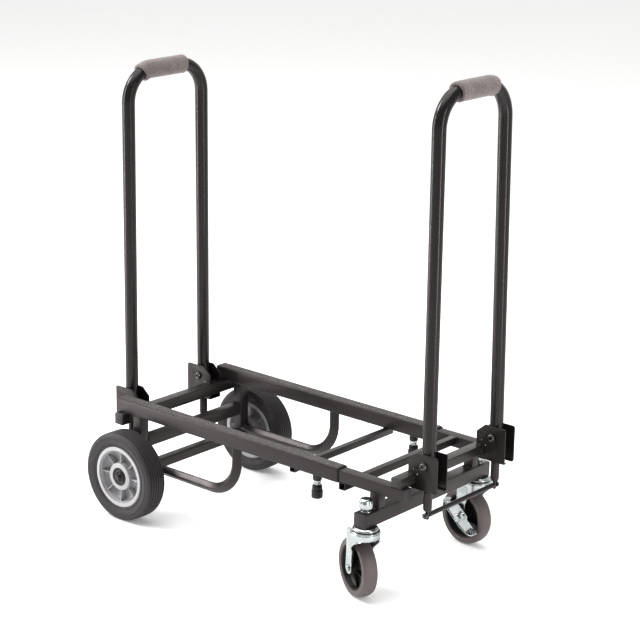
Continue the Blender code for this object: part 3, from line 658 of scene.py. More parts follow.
def make_spring_pin(side, sign):
    """The collar under the rail, its jam nut, and the knob that pulls the pin."""
    low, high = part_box(f"lock_housing_{side}")
    place = Matrix.Translation((centre_of(f"lock_housing_{side}").x, sign * RAIL_MIDDLE, 0.0))
    top, bottom = high[2], low[2]
    collar_low = 0.2110
    hole = 0.0044
    collar = lathe(f"collar_{side}", [(0.0088, top), (0.0095, top - 0.0025), (0.0095, collar_low + 0.0010),
                                      (0.0088, collar_low), (hole, collar_low), (hole, top)],
                   "black_frame", place, 48, 0.0004)
    nut = plate(f"jam_nut_{side}", (polygon(0.0084, 6, 0.3), circle(hole, 24)), collar_low - bottom - 0.0052,
                "zinc", place @ lifted((collar_low + bottom + 0.0052) / 2), 0.0006)
    ring = lathe(f"nut_ring_{side}", [(hole, bottom + 0.0050), (0.0080, bottom + 0.0050),
                                      (0.0080, bottom + 0.0030), (0.0068, bottom + 0.0020),
                                      (0.0068, bottom), (hole, bottom)], "zinc", place, 48, 0.0003)
    settle(joined(f"pin_housing_{side}", collar, nut, ring), "rear_frame", "dark_steel",
           f"lock_housing_{side}")
    low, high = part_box(f"lock_knob_{side}")
    stem = lathe(f"stem_{side}", [(0.0, high[2]), (0.0034, high[2]), (0.0040, high[2] - 0.0010),
                                  (0.0040, 0.1990), (0.0, 0.1990)], "zinc", place, 32, 0.0002)
    shell = []
    steps = 96
    for radius, height in filleted([(0.0, 0.2000), (0.0092, 0.2000), (0.0105, 0.1965), (0.0105, 0.1905),
                                    (0.0118, 0.1880), (0.0118, low[2] + 0.0006), (0.0100, low[2]),
                                    (0.0, low[2])], 0.0010, 4, False):
        ring_points = []
        for step in range(steps):
            angle = 2 * math.pi * step / steps
            flute = 0.0
            if radius > 0.0100 and height < 0.1880:
                flute = 0.00030 * (0.5 - 0.5 * math.cos(16 * angle))
            ring_points.append(((radius - flute) * math.cos(angle), (radius - flute) * math.sin(angle),
                                height))
        shell.append(ring_points)
    settle(joined(f"pull_knob_{side}", stem, ringed(f"grip_{side}", shell, "black_plastic", place)),
           f"lock_knob_{side}", "black_plastic", f"lock_knob_{side}")


def ringed(name, rings, material, matrix=Matrix()):
    """A closed skin over rings of points; a ring at zero radius closes an end."""
    shell = bmesh.new()
    made = []
    for ring in rings:
        if max(abs(point[0]) + abs(point[1]) for point in ring) < 1e-9:
            made.append([shell.verts.new(ring[0])])
        else:
            made.append([shell.verts.new(point) for point in ring])
    skin(shell, zip(made, made[1:]))
    return as_object(shell, name, material, matrix)


# ---------------------------------------------------------------- rear undercarriage

LOOP_THICK = 0.0205
LOOP_WIDE = 0.0170
LOOP_BOTTOM = 0.104
LOOP_FRONT = -0.0453
LOOP_BEND = 0.086
WHEEL_RADIUS = 0.100
WHEEL_MIDDLE = 0.2095
WHEEL_HALF = 0.025
TYRE_HALF = 0.0262
RIM_RADIUS = 0.069


def make_side_loop(side, sign):
    """The flat-sided bar that runs forward from the post and bends up to the rail."""
    y = sign * RAIL_MIDDLE
    middle = LOOP_BEND - LOOP_THICK / 2
    centre = (LOOP_FRONT - LOOP_BEND, LOOP_BOTTOM + LOOP_BEND)
    path = [(POST_X + 0.0123, LOOP_BOTTOM + LOOP_THICK / 2)]
    path += arc(centre, middle, 270, 360, 28)
    path.append((LOOP_FRONT - LOOP_THICK / 2, RAIL_BOTTOM - 0.0003))
    section = rectangle(LOOP_THICK, LOOP_WIDE, 0.0034, 5)
    section = [(v, u) for u, v in section]
    loop = sweep(f"loop_bar_{side}", [(x, y, z) for x, z in path], section, "black_frame")
    settle(loop, "rear_frame", "black_frame", f"side_loop_{side}")


def make_tyre(side, sign):
    """A solid tyre with circumferential grooves round its tread and rings on its walls."""
    half = TYRE_HALF
    wall = [(RIM_RADIUS + 0.0003, half - 0.0050), (0.0712, half - 0.0034), (0.0735, half - 0.0028),
            (0.0741, half - 0.0040), (0.0750, half - 0.0026), (0.0815, half - 0.0008),
            (0.0872, half), (0.0879, half - 0.0012), (0.0887, half - 0.0001),
            (0.0940, half - 0.0008), (0.0972, half - 0.0022), (0.0988, half - 0.0046)]
    tread = []
    for middle in (0.0175, 0.0105, 0.0035):
        crown = WHEEL_RADIUS - 0.0012 * (middle / half) ** 3
        tread += [(crown, middle + 0.0011), (crown - 0.0026, middle + 0.0006),
                  (crown - 0.0026, middle - 0.0006), (crown, middle - 0.0011)]
    upper = wall + tread
    turn = across((0.0, 0.0, 0.0)) if sign > 0 else across((0.0, 0.0, 0.0)) @ turned(180, "X")
    place = Matrix.Translation((POST_X, sign * WHEEL_MIDDLE, WHEEL_RADIUS)) @ turn
    tyre = lathe(f"tyre_{side}", upper + mirrored(upper), "black_rubber", place, 144, 0.0004, 40.0)
    settle(tyre, f"rear_wheel_{side}", "black_rubber", f"rear_tyre_{side}")
    return place


def standing(flip):
    """A matrix that stands a rib's outline up along Z, or down when flip is -1."""
    return Matrix(((1, 0, 0, 0), (0, 0, -1, 0), (0, flip, 0, 0), (0, 0, 0, 1)))


def make_rim(side, place):
    """A moulded rim: outer ring, dished web with eight ribs each side, hub and bearing."""
    half = WHEEL_HALF
    hub = 0.0310
    bore = 0.0205
    face = half - 0.0055
    # The shell (web, dished walls, hub and bore) takes the darker copy of the grey plastic as painted shade
    # in the rim's recess; the face ring, ribs and boss keep the lighter grey.
    rim = lathe(f"rim_shell_{side}",
                [(RIM_RADIUS, half - 0.0030), (RIM_RADIUS, 0.0030 - half), (0.0600, 0.0030 - half),
                 (0.0585, 0.0050 - half), (0.0565, -0.0040), (0.0520, -0.0024), (hub + 0.0040, -0.0024),
                 (hub, -0.0060), (hub - 0.0010, -0.0300), (bore, -0.0300), (bore, face), (0.0255, face),
                 (0.0260, face - 0.0008), (0.0268, face - 0.0001), (hub - 0.0010, face - 0.0004),
                 (hub, face - 0.0024), (hub + 0.0016, 0.0060), (hub + 0.0050, 0.0024), (0.0470, 0.0026),
                 (0.0525, 0.0050), (0.0562, 0.0100), (0.0578, half - 0.0075), (0.0592, half - 0.0066),
                 (0.0600, half - 0.0030)],
                "grey_web_shaded", place, 128, 0.0006)
    pieces = [rim]
    for number in range(8):
        for flip, top, low in ((1, half - 0.0085, 0.0018), (-1, half - 0.0070, 0.0018)):
            outline = [(hub - 0.0006, low), (0.0584, low), (0.0584, top), (0.0540, top - 0.0006),
                       (hub + 0.0060, top - 0.0022), (hub - 0.0006, top - 0.0022)]
            turn = turned(45.0 * number, "Z") @ standing(flip)
            pieces.append(plate(f"rib_{side}_{number}_{flip}", (outline,), 0.0018, "grey_plastic",
                                place @ turn, 0.0005))
    ring = lathe(f"face_ring_{side}", [(0.0600, half - 0.0034), (0.0600, half - 0.0026),
                                       (0.0612, half - 0.0020), (0.0672, half - 0.0020),
                                       (0.0685, half - 0.0026), (0.0685, half - 0.0034)],
                 "grey_plastic", place, 128, 0.0003)
    boss = lathe(f"boss_ring_{side}", [(bore + 0.0002, face - 0.0010), (bore + 0.0002, face + 0.0003),
                                       (0.0252, face + 0.0003), (0.0258, face - 0.0005),
                                       (0.0266, face + 0.0002),
                                       (hub - 0.0012, face - 0.0001), (hub - 0.0002, face - 0.0016),
                                       (hub - 0.0002, face - 0.0026)], "grey_plastic", place, 128, 0.0002)
    settle(joined(f"rim_{side}", *pieces, ring, boss), f"rear_wheel_{side}", "grey_plastic",
           f"rear_rim_{side}")
    shield = lathe(f"shield_{side}",
                   [(0.0124, face - 0.0014), (0.0150, face - 0.0026), (bore, face - 0.0010),
                    (bore, face - 0.0060), (0.0124, face - 0.0060)],
                   "black_plastic", place, 96, 0.0004)
    throat = lathe(f"throat_{side}",
                   [(0.0084, face - 0.0040), (0.0112, face - 0.0040), (0.0112, face - 0.0070),
                    (0.0084, face - 0.0070)], "black_plastic", place, 64, 0.0003)
    race = lathe(f"race_{side}", [(0.0110, face + 0.0004), (0.0124, face + 0.0004), (0.0128, face - 0.0008),
                                  (0.0128, face - 0.0070), (0.0110, face - 0.0070)],
                 "dark_steel", place, 96, 0.0003)
    back = lathe(f"back_race_{side}", [(0.0084, -0.0290), (0.0084, -0.0345), (0.0110, -0.0345),
                                       (0.0118, -0.0320), (bore, -0.0310), (bore, -0.0290)],
                 "dark_steel", place, 96, 0.0003)
    settle(joined(f"bearing_{side}", shield, throat, race, back), f"rear_wheel_{side}", "dark_steel")


def make_rear_undercarriage():
    """Side loops, wheels, the axle and its nuts."""
    for side, sign in SIDES:
        make_side_loop(side, sign)
        make_rim(side, make_tyre(side, sign))
        node = f"axle_nut_{side}"
        low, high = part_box(node)
        depth = high[1] - low[1]
        turn = Matrix.Identity(4) if sign > 0 else turned(180, "X")
        inner = low[1] if sign > 0 else high[1]
        place = across((POST_X, inner, WHEEL_RADIUS)) @ turn
        nut = plate(f"nut_hex_{side}", (polygon(0.0088, 6, 0.2),), depth * 0.5, "black_plastic",
                    place @ lifted(depth * 0.25), 0.0006)
        dome = lathe(f"nut_dome_{side}",
                     [(0.0, depth - 0.0016), (0.0024, depth - 0.0016), (0.0028, depth - 0.0002),
                      (0.0040, depth - 0.0002), (0.0046, depth - 0.0012),
                      (0.0046, depth * 0.45), (0.0, depth * 0.45)],
                     "dark_steel", place, 48, 0.0002)
        settle(joined(f"cap_nut_{side}", nut, dome), "rear_frame", "dark_steel", node)
    low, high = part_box("rear_axle")
    half = (high[1] - low[1]) / 2
    tip = [(0.0, half), (0.0072, half), (0.0080, half - 0.0010)]
    axle = lathe("axle_shaft", tip + mirrored(tip), "dark_steel", across((POST_X, 0.0, WHEEL_RADIUS)), 48,
                 0.0002)
    settle(axle, "rear_frame", "dark_steel", "rear_axle")


# ---------------------------------------------------------------- front undercarriage

BEAM_X = 0.3237
BEAM_TOP = 0.1925
KINGPIN_Y = 0.1885
CASTER_RADIUS = 0.0625
CASTER_HALF = 0.0170
CASTER_CORE = 0.048
TRAIL = 0.030
CASTER_TURN = {"near": -24.5, "far": -7.5}
CUP_RADIUS = 0.0305
CROWN_TOP = 0.1622
FORK_HALF = 0.0225


def make_kingpin(side, sign):
    """A washer and a hexagonal cap nut on the beam, with the pin below it."""
    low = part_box(f"kingpin_{side}")[0]
    seat = BEAM_TOP + 0.0003
    place = Matrix.Translation((BEAM_X, sign * KINGPIN_Y, 0.0))
    washer = lathe(f"washer_{side}", [(0.0, seat + 0.0060), (0.0082, seat + 0.0060), (0.0076, seat + 0.0050),
                                      (0.0082, seat + 0.0040), (0.0076, seat + 0.0030),
                                      (0.0110, seat + 0.0022),
                                      (0.0112, seat + 0.0002), (0.0060, seat), (0.0060, low[2]),
                                      (0.0, low[2])],
                   "zinc", place, 64, 0.0003)
    rings = []
    for radius, height in filleted([(0.0, 0.0052), (0.0106, 0.0052), (0.0142, 0.0082), (0.0150, 0.0130),
                                    (0.0150, 0.0190), (0.0136, 0.0244), (0.0100, 0.0280), (0.0, 0.0288)],
                                   0.0030, 5, False):
        flats = 0.0011 * min(1.0, max(0.0, (radius - 0.0100) / 0.0030))
        ring = []
        for step in range(72):
            angle = 2 * math.pi * step / 72
            reach = radius - flats * (0.5 - 0.5 * math.cos(6 * angle)) ** 2
            ring.append((reach * math.cos(angle), reach * math.sin(angle), seat + height))
        rings.append(ring)
    cap = ringed(f"king_cap_{side}", rings, "zinc", place)
    settle(joined(f"king_nut_{side}", washer, cap), "front_frame", "zinc", f"kingpin_{side}")


def grid_cuts(piece, spacing):
    """Cut a plate along its width and height so that it can bend."""
    shell = bmesh.new()
    shell.from_mesh(piece.data)
    for letter in (0, 1):
        places = [vertex.co[letter] for vertex in shell.verts]
        normal = Vector((0.0, 0.0, 0.0))
        normal[letter] = 1.0
        for step in range(1, int((max(places) - min(places)) / spacing) + 1):
            bmesh.ops.bisect_plane(shell, geom=shell.verts[:] + shell.edges[:] + shell.faces[:], dist=1e-6,
                                   plane_co=normal * (min(places) + step * spacing), plane_no=normal)
    shell.to_mesh(piece.data)
    shell.free()


def fork_leg(side, label, place):
    """One pressed leg of the fork: a tapering blade with a flange along its front edge."""
    sign = -1 if label == "near" else 1
    blade = 0.0030
    outline = [(0.0240, 0.1460), (0.0240, 0.1372), (0.0130, 0.1306), (0.0040, 0.1225), (-0.0035, 0.1140),
               (-0.0095, 0.1050), (-0.0135, 0.0950), (-0.0155, 0.0830), (-0.0168, 0.0700)]
    outline += arc((-TRAIL, CASTER_RADIUS), 0.0128, 20, -180, 16)
    outline += [(-0.0424, 0.0740), (-0.0408, 0.0950), (-0.0402, 0.1440), (-0.0380, 0.1480),
                (-0.0330, 0.1500),
                (0.0000, 0.1500)]
    blade_matrix = place @ facing("Y", (0.0, sign * (FORK_HALF - blade / 2), 0.0))
    flipped = [(-x, z) for x, z in reversed(outline)]
    leg = plate(f"leg_{side}_{label}", (filleted(flipped, 0.0060, 3),), blade, "zinc", blade_matrix, 0.0008)
    grid_cuts(leg, 0.0040)
    path = [(0.0225, 0.1372), (0.0130, 0.1312), (0.0040, 0.1230), (-0.0035, 0.1145), (-0.0095, 0.1055),
            (-0.0135, 0.0955), (-0.0155, 0.0840), (-0.0166, 0.0740)]
    points = [(x - 0.0010, sign * (FORK_HALF - 0.0016), z) for x, z in path]
    smooth = [Vector(points[0])]
    for first, second in zip(points, points[1:]):
        for step in range(1, 5):
            smooth.append(Vector(first).lerp(Vector(second), step / 4))
    widths = [0.0048 * (1.0 - 0.62 * step / (len(smooth) - 1)) + 0.0020 for step in range(len(smooth))]
    sections = []
    for width in widths:
        section = rectangle(width, 0.0022, 0.0009, 2)
        sections.append([(v, u - sign * (width / 2 - 0.0014)) for u, v in section])
    flange = sweep(f"flange_{side}_{label}", smooth, sections, "zinc")
    flange.data.transform(place)
    for piece, to_local in ((leg, place.inverted() @ blade_matrix), (flange, place.inverted())):
        to_mesh = to_local.inverted()
        for vertex in piece.data.vertices:
            spot = to_local @ vertex.co
            rise = min(1.0, max(0.0, (spot.z - 0.090) / 0.040))
            ahead = min(1.0, max(0.0, (spot.x + 0.0130) / 0.0130))
            cup = math.sqrt(CUP_RADIUS ** 2 - min(0.024, max(0.0, spot.x)) ** 2)
            spot.y += (sign * (cup - FORK_HALF) * rise * rise * (3 - 2 * rise)
                       * ahead * ahead * (3 - 2 * ahead))
            vertex.co = to_mesh @ spot
    return [leg, flange]


def make_caster(side, sign):
    """Swivel crown, fork, axle bolt and wheel of one caster."""
    spin = turned(CASTER_TURN[side], "Z")
    place = Matrix.Translation((BEAM_X, sign * KINGPIN_Y, 0.0)) @ spin
    hub = place @ Matrix.Translation((-TRAIL, 0.0, CASTER_RADIUS))
    axle = hub @ turned(-90, "X")
    bore = 0.0063
    top_plate = lathe(f"top_race_{side}",
                      [(bore, CROWN_TOP - 0.0001), (0.0205, CROWN_TOP - 0.0001),
                       (0.0230, CROWN_TOP - 0.0006),
                       (0.0262, CROWN_TOP - 0.0030), (0.0270, CROWN_TOP - 0.0058),
                       (0.0258, CROWN_TOP - 0.0064),
                       (bore, CROWN_TOP - 0.0064)], "zinc", place, 96, 0.0008)
    groove = lathe(f"race_gap_{side}",
                   [(0.0100, CROWN_TOP - 0.0060), (0.0248, CROWN_TOP - 0.0060), (0.0248, CROWN_TOP - 0.0082),
                    (0.0100, CROWN_TOP - 0.0082)], "dark_steel", place, 96, 0.0002)
    skirt = lathe(f"crown_skirt_{side}",
                  [(bore, CROWN_TOP - 0.0080), (0.0262, CROWN_TOP - 0.0080), (0.0290, CROWN_TOP - 0.0086),
                   (0.0302, CROWN_TOP - 0.0100), (0.0304, CROWN_TOP - 0.0114), (0.0292, CROWN_TOP - 0.0120),
                   (0.0304, CROWN_TOP - 0.0128), (CUP_RADIUS, 0.1450), (0.0303, 0.1400), (0.0290, 0.1374),
                   (0.0262, 0.1366), (bore, 0.1366)],
                  "zinc", place, 96, 0.0008)
    pieces = [top_plate, groove, skirt]
    for label in ("near", "far"):
        pieces += fork_leg(side, label, place)
    settle(joined(f"fork_{side}", *pieces), f"caster_{side}", "zinc", f"caster_fork_{side}")
    end = FORK_HALF + 0.0035
    head = lathe(f"bolt_{side}",
                 [(0.0, -end), (0.0045, -end), (0.0062, 0.0009 - end), (0.0066, -FORK_HALF - 0.0003),
                  (0.0042, -FORK_HALF - 0.0003), (0.0042, FORK_HALF + 0.0003),
                  (0.0064, FORK_HALF + 0.0003), (0.0064, FORK_HALF + 0.0008),
                  (0.0030, FORK_HALF + 0.0010), (0.0030, end), (0.0, end)],
                 "zinc", axle, 48, 0.0003)
    nut = plate(f"bolt_nut_{side}", (polygon(0.0065, 6, 0.4), circle(0.0029, 20)), 0.0024, "zinc",
                axle @ lifted(FORK_HALF + 0.0021), 0.0004)
    settle(joined(f"wheel_bolt_{side}", head, nut), f"caster_{side}", "zinc", f"caster_axle_{side}")
    half = CASTER_HALF
    flank = [(CASTER_CORE + 0.0003, half - 0.0022), (0.0500, half - 0.0010), (0.0525, half - 0.0008),
             (0.0532, half - 0.0016), (0.0540, half - 0.0006), (0.0575, half - 0.0008),
             (0.0598, half - 0.0026), (0.0614, half - 0.0056), (0.0622, half - 0.0090)]
    tread = lathe(f"tread_{side}", flank + [(CASTER_RADIUS, 0.0)] + mirrored(flank), "caster_rubber", axle,
                  128, 0.0010, 50.0)
    settle(tread, f"caster_wheel_{side}", "caster_rubber", f"caster_tread_{side}")
    hole = 0.0047
    upper = [(hole, half + 0.0008), (0.0128, half + 0.0008), (0.0140, 0.0040), (0.0170, 0.0016),
             (0.0370, 0.0016),
             (0.0430, 0.0040), (0.0452, half - 0.0034), (0.0462, half - 0.0026),
             (CASTER_CORE, half - 0.0030)]
    core = lathe(f"core_shell_{side}", upper[-1:] + mirrored(upper) + upper[:-1], "black_plastic", axle, 96,
                 0.0006)
    pieces = [core]
    for number in range(6):
        for flip in (1, -1):
            outline = [(0.0132, 0.0010), (0.0436, 0.0010), (0.0436, half - 0.0095), (0.0360, half - 0.0102),
                       (0.0132, half - 0.0050)]
            turn = turned(60.0 * number + 20.0, "Z") @ standing(flip)
            pieces.append(plate(f"core_rib_{side}_{number}_{flip}", (outline,), 0.0020, "black_plastic",
                                axle @ turn, 0.0005))
    settle(joined(f"core_{side}", *pieces), f"caster_wheel_{side}", "black_plastic", f"caster_core_{side}")
    return hub


def make_brake(hub):
    """The rocking brake lever: a pressed plate, its pivot boss, and a ridged foot pad."""
    plate_thick = 0.0025
    face = -(FORK_HALF + 0.0042 + plate_thick)
    outline = [(-0.0360, 0.0270), (-0.0270, 0.0080), (-0.0120, -0.0040), (0.0085, -0.0190),
               (0.0215, -0.0255),
               (0.0310, -0.0295), (0.0430, -0.0295), (0.0545, -0.0225), (0.0600, -0.0180), (0.0430, -0.0045),
               (0.0290, 0.0055), (0.0290, 0.0130), (0.0050, 0.0305), (-0.0130, 0.0350)]
    flipped = [(-x, z) for x, z in outline]
    blade = plate("brake_blade", (filleted(flipped, 0.0050, 5), circle(0.0050, 28)), plate_thick, "zinc",
                  hub @ facing("Y", (0.0, face + plate_thick / 2, 0.0)), 0.0006)
    grid_cuts(blade, 0.0040)
    into_hub = hub.inverted() @ blade.matrix_world
    for vertex in blade.data.vertices:
        spot = into_hub @ vertex.co
        bow = max(0.0, 1.0 - ((spot.x - 0.0420) / 0.0170) ** 2 - ((spot.z + 0.0190) / 0.0100) ** 2)
        spot.y += 0.0022 * bow
        vertex.co = into_hub.inverted() @ spot
    rim_path = [(-0.0345, 0.0262), (-0.0262, 0.0092), (-0.0112, -0.0026), (0.0090, -0.0176),
                (0.0220, -0.0242),
                (0.0312, -0.0280), (0.0425, -0.0282), (0.0540, -0.0212), (0.0585, -0.0176)]
    rib = sweep("brake_rib", [(x, face - 0.0006, z) for x, z in rim_path],
                rectangle(0.0022, 0.0020, 0.0008, 3),
                "zinc")
    rib.data.transform(hub)
    pieces = [blade, rib]
    for x, z, wide in ((0.0, 0.0, 0.0088), (0.0165, 0.0090, 0.0070)):
        pieces.append(lathe("brake_boss", [(0.0, 0.0), (wide, 0.0), (wide + 0.0006, 0.0006), (wide, 0.0016),
                                           (wide * 0.62, 0.0030), (wide * 0.50, 0.0024), (0.0, 0.0024)],
                            "zinc",
                            hub @ Matrix.Translation((x, face + 0.0002, z)) @ turned(90, "X"), 48, 0.0004))
    # A thin dark steel plate laid on the blade stands in for the slot: painted shade where the opening would
    # look dark.
    slot_shade_place = hub @ Matrix.Translation((0.0075, face - 0.0002, 0.0125)) @ turned(38, "Y")
    pieces.append(plate("brake_slot_shade", (rectangle(0.0060, 0.0150, 0.0028),), 0.0012, "dark_steel",
                        slot_shade_place @ facing("Y", (0.0, 0.0, 0.0)), 0.0004))
    tab_place = hub @ Matrix.Translation((-0.0285, face - 0.0030,
                                          0.0350)) @ turned(-14, "Y") @ turned(34, "X")
    pieces.append(plate("brake_tab", (rectangle(0.0220, 0.0120, 0.0030),), plate_thick, "zinc",
                        tab_place, 0.0006))
    foot = hub @ Matrix.Translation((0.0415, face - 0.0002, -0.0190)) @ turned(-32, "Y")
    for number in range(6):
        across_pad = -0.0125 + 0.0050 * number
        reach = 0.0068 * math.sqrt(max(0.1, 1.0 - (across_pad / 0.0165) ** 2))
        ridge = sweep(f"pad_ridge_{number}", [(across_pad, 0.0, -reach), (across_pad, 0.0, reach)],
                      circle(0.0010, 10), "dark_steel")
        ridge.data.transform(foot)
        pieces.append(ridge)
    settle(joined("brake", *pieces), "brake_lever", "zinc", "brake_lever")


# ---------------------------------------------------------------- handles

HANDLE_X = 0.4196
HANDLE_RADIUS = 0.0140
HANDLE_BEND = 0.068
HANDLE_HALF = {"rear": 0.1145, "front": 0.1130}
HANDLE_TOE = {"rear": 0.0025, "front": 0.0075}
HANDLE_LEAN = {"rear": -0.0020, "front": -0.0070}
HANDLE_TOP = {"rear": 0.972, "front": 1.0303}
PIVOT_Z = {"rear": 0.239, "front": 0.296}
GRIP_SPAN = {"rear": (-0.0755, 0.0550), "front": (-0.0583, 0.0665)}
GRIP_RADIUS = 0.0205
GRIP_STATIONS = 110
GRIP_AROUND = 56
GRIP_ROUNDING = 0.0030
TUBE_WALL = 0.0018
TUBE_AROUND = 48
LEG_BELOW_PIVOT = 0.044


def leaned(end, points):
    """An upright hoop's points, drawn together and tilted along X towards its top."""
    made = []
    for x, y, z in points:
        rise = (z - PIVOT_Z[end]) / (HANDLE_TOP[end] - PIVOT_Z[end])
        made.append((x + HANDLE_LEAN[end] * rise, y * (1 - HANDLE_TOE[end] * rise / HANDLE_HALF[end]), z))
    return made


def tube_shell(name, points, outer, inner, material):
    """A hollow round tube along a path, open at both ends with a rounded lip."""
    path, sides = frames_along(points)
    first = (path[1] - path[0]).normalized()
    last = (path[-1] - path[-2]).normalized()
    middle = (outer + inner) / 2
    lip = (outer - inner) / 2
    between = list(zip(path[1:-1], sides[1:-1]))

    def mouth(tip, along, side):
        """Stations round the lip at one end, from the outside inwards."""
        made = []
        for step in range(1, 4):
            angle = math.radians(30 * step)
            made.append((tip + along * lip * (1 - math.sin(angle)), side, middle + lip * math.cos(angle)))
        return made

    stations = mouth(path[0], first, sides[0])[::-1]
    stations += [(point, side, outer) for point, side in between]
    stations += mouth(path[-1], -last, sides[-1])
    stations += [(point, side, inner) for point, side in reversed(between)]
    shell = bmesh.new()
    rings = []
    for point, (side, other), radius in stations:
        rings.append([shell.verts.new(point + side * u + other * v) for u, v in circle(radius, TUBE_AROUND)])
    skin(shell, zip(rings, rings[1:] + rings[:1]))
    return as_object(shell, name, material, sharp=50.0)


def make_handle(end, outward):
    """One hoop and its foam grip."""
    x = outward * HANDLE_X
    half, top = HANDLE_HALF[end], HANDLE_TOP[end]
    straight = half - HANDLE_BEND
    bend_z = top - HANDLE_BEND
    foot = PIVOT_Z[end] - LEG_BELOW_PIVOT
    left = [(x, u, v) for u, v in arc((-straight, bend_z), HANDLE_BEND, 180, 90, 22)]
    right = [(x, u, v) for u, v in arc((straight, bend_z), HANDLE_BEND, 90, 0, 22)]
    rise = [foot + (bend_z - foot) * step / 12 for step in range(12)]
    path = [(x, -half, z) for z in rise] + left + right + [(x, half, z) for z in reversed(rise)]
    tube = tube_shell(f"{end}_hoop", leaned(end, path), HANDLE_RADIUS, HANDLE_RADIUS - TUBE_WALL,
                      "black_handle")
    settle(tube, f"{end}_handle", "black_handle", f"{end}_handle_tube")
    low_y, high_y = GRIP_SPAN[end]
    spine = []
    for step in range(GRIP_STATIONS + 1):
        y = low_y + (high_y - low_y) * step / GRIP_STATIONS
        beyond = max(0.0, abs(y) - straight)
        spine.append((x, y, bend_z + math.sqrt(max(0.0, HANDLE_BEND ** 2 - beyond ** 2))))
    spine = leaned(end, spine)
    points, sides = frames_along(spine)
    shell = bmesh.new()
    rings = []
    for index, (point, (side, other)) in enumerate(zip(points, sides)):
        away = min(index, GRIP_STATIONS - index) * (high_y - low_y) / GRIP_STATIONS
        pull = 0.0
        if away < GRIP_ROUNDING:
            pull = GRIP_ROUNDING - math.sqrt(max(0.0, GRIP_ROUNDING ** 2 - (GRIP_ROUNDING - away) ** 2))
        ring = []
        for u, v in circle(1.0, GRIP_AROUND):
            spot = point * 26.0 + side * u + other * v
            lump = 0.00035 * noise.noise(spot) - 0.00030
            fine = 0.00010 * noise.noise((point + (side * u + other * v) * GRIP_RADIUS) * 420.0)
            radius = GRIP_RADIUS - pull + lump + fine
            ring.append(shell.verts.new(point + (side * u + other * v) * radius))
        rings.append(ring)
    inner = HANDLE_RADIUS + 0.0003
    for point, (side, other) in list(zip(points, sides))[::-1]:
        rings.append([shell.verts.new(point + side * u + other * v) for u, v in circle(inner, GRIP_AROUND)])
    skin(shell, zip(rings, rings[1:] + rings[:1]))
    foam = as_object(shell, f"{end}_foam", "grey_foam", sharp=60.0)
    settle(foam, f"{end}_handle", "grey_foam", f"{end}_grip")


# ---------------------------------------------------------------- brackets and lock bars

PLATE = 0.0030
BRACKET_IN = 0.038
BRACKET_OUT = 0.034
BRACKET_UP = 0.025
BRACKET_DOWN = 0.051
BRACKET_CHAMFER = 0.020
BRACKET_ROUND = 0.006
PLUNGER = 0.0090
LOCK_ROD = 0.0050
LOCK_ROD_DOWN = 0.1075


